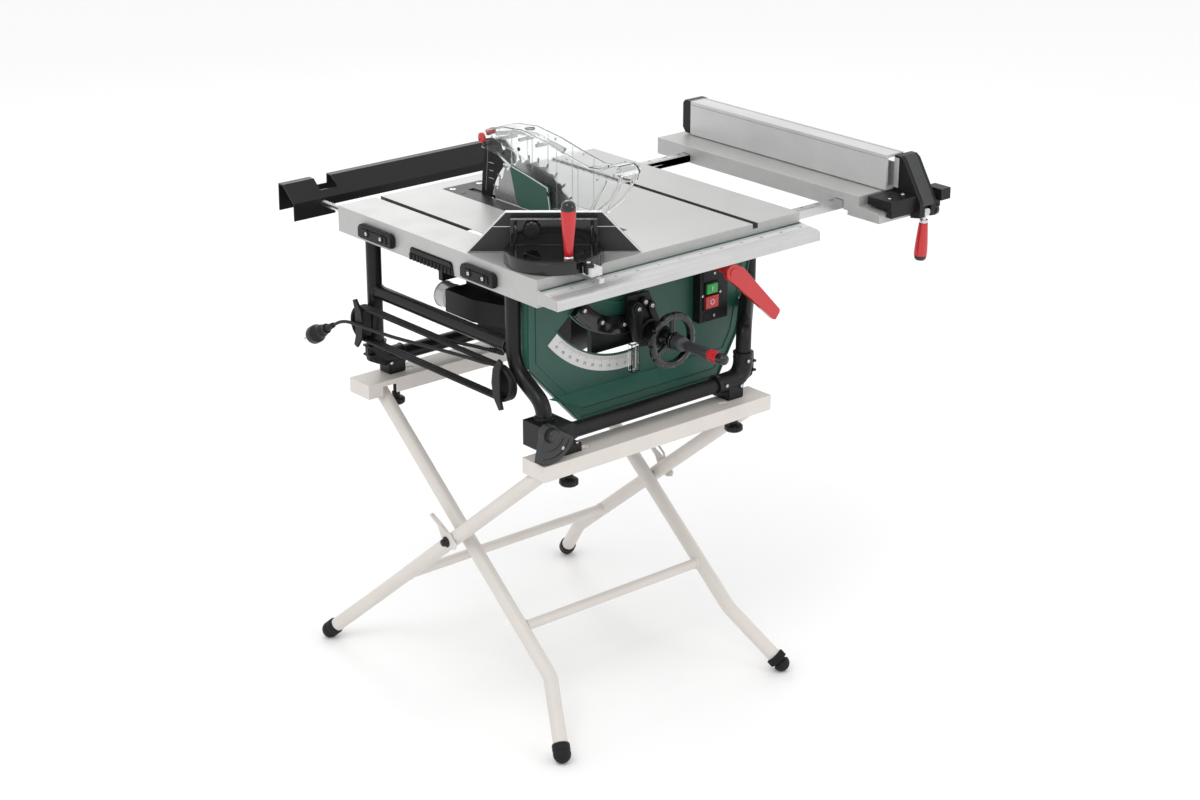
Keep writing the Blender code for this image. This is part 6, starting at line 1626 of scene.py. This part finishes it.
# ---- mitre gauge ---------------------------------------------------------------------------------
# A ground steel bar runs in the left slot with a white pointer block; on it turns a glossy black
# half-round casting, with a dark plate as its fence and a red grip with a black cap.

GAUGE = (-0.1555, -0.180)
GAUGE_TURN = radians(-40)
bar = refit("mitre_bar", "slot_bar", bright_steel, "mitre_slide", edge=0.0006)
part_faces(bar, [scale_white], lambda centre, normal: 1 if centre.z > 0.8804 else 0)
refit("mitre_protractor", "protractor", gloss_black, "mitre_head", edge=0.0024, segments=4)


def on_gauge(u, v, z):
    """A point on the gauge, u along its fence and v towards it, turned with it."""
    return Vector((GAUGE[0] + u * cos(GAUGE_TURN) - v * sin(GAUGE_TURN),
                   GAUGE[1] + u * sin(GAUGE_TURN) + v * cos(GAUGE_TURN), z))


def gauge_prism(shape, outline, low, high, edge):
    slab(shape, [tuple(on_gauge(u, v, 0))[:2] for u, v in outline], "z", low, high, edge)


shape = bmesh.new()
rim_angles = [radians(180 + 180 * i / 40) for i in range(41)]
for outer, inner, top, edge in ((0.0868, 0.0800, 0.9042, 0.0008), (0.0560, 0.0535, 0.9030, 0.0006)):
    outline = [(outer * cos(a), outer * sin(a)) for a in rim_angles]
    outline += [(inner * cos(a), inner * sin(a)) for a in reversed(rim_angles)]
    gauge_prism(shape, outline, 0.9010, top, edge)
gauge_prism(shape, [(-0.070, 0.0235), (-0.064, 0.0235), (-0.064, -0.008), (-0.070, 0.004)], 0.9010, 0.9420,
            0.0016)
gauge_prism(shape, [(0.064, 0.0235), (0.070, 0.0235), (0.070, 0.004), (0.064, -0.008)], 0.9010, 0.9420,
            0.0016)
gauge_prism(shape, [(0.0470, -0.0700), (0.0640, -0.0580), (0.0700, -0.0860), (0.0560, -0.0920)], 0.8830,
            0.9010, 0.0016)
settle("gauge_rims", shape, gloss_black, "mitre_head", sharp=45)
knob_at = on_gauge(-0.0380, 0.0218, 0.9300)
knob_way = on_gauge(0, -1, 0) - on_gauge(0, 0, 0)


def knob_grip(angle, height):
    return 1 - (0.10 * max(0.0, cos(10 * angle)) ** 2 if 0.002 < height < 0.0120 else 0)


shape = bmesh.new()
lathe(shape, [(0.0100, -0.001), (0.0150, 0.0012), (0.0155, 0.0040), (0.0155, 0.0110), (0.0140, 0.0130),
              (0.0080, 0.0136), (0.0075, 0.0128), (0, 0.0128)], knob_at, knob_way, 96, knob_grip)
settle("gauge_knob", shape, moulded_black, "mitre_head")
repeated("gauge_screw", screw_head(0.0040, 0.0018),
         [(on_gauge(0.0600, -0.0750, 0.9010), (0, 0, 1), (1, 0, 0), 1.0)], bright_steel,
         "mitre_head", seed=13)

plate_grey = surface("plate_grey", (0.0357, 0.0365, 0.0378), 0.34, shine=0.40, metal=0.5, mottle=0.10,
                     mottle_size=0.04, grain=0.0014, stretch=(0.1, 0.1, 1),
                     bump=0.12)
# Bright metal for the plate's edges: painted highlight where the edges catch the light.
plate_edge_highlight = surface("plate_edge_highlight", (0.66, 0.66, 0.66), 0.26, metal=0.7, mottle=0.05, grain=0.0012, bump=0.1)
thick_way = (on_gauge(0, 1, 0) - on_gauge(0, 0, 0)).normalized()
plate = refit("mitre_fence", "gauge_fence", plate_grey, "mitre_head", edge=0.0012,
              segments=2)
part_faces(plate, [plate_edge_highlight], lambda centre, normal: 0 if abs(normal.dot(thick_way)) > 0.95 else 1)
# A thin bright line across the plate's face, in the same painted highlight.
shape = bmesh.new()
half = 0.153 - 0.068 * (0.9280 - 0.8815) / 0.073
pipe(shape, [on_gauge(-half + 0.002, 0.0466, 0.9280), on_gauge(half - 0.002, 0.0466, 0.9280)], 0.0007, 10)
settle("gauge_fence_line", shape, plate_edge_highlight, "mitre_head")

foot = on_gauge(0.026, -0.060, 0.9023)
shape = bmesh.new()
lathe(shape, [(0.0088, 0), (0.0088, 0.0028), (0.0078, 0.0038), (0.0072, 0.0052)], foot, (0, 0, 1), 32)
collar = settle("grip_collar", shape, bright_steel, "mitre_grip")
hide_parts("mitre_handle")
shape = bmesh.new()
lathe(shape, [(0.0070, 0.0048), (0.0077, 0.0060), (0.0084, 0.0180), (0.0098, 0.0330), (0.0114, 0.0500),
              (0.0127, 0.0660), (0.0133, 0.0780),
              (0.0132, 0.0850), (0.0126, 0.0870)], foot, (0, 0, 1), 56, lambda angle,
      height: 1 - 0.012 * (0.5 + 0.5 * cos(6 * angle)))
settle("grip_red", shape, red_gloss, "mitre_grip")
shape = bmesh.new()
lathe(shape, [(0.0124, 0.0866), (0.0131, 0.0876), (0.0129, 0.0930), (0.0115, 0.0985), (0.0085, 0.1022),
              (0.0040, 0.1040), (0, 0.1044)],
      foot, (0, 0, 1), 48)
settle("grip_cap", shape, gloss_black, "mitre_grip")
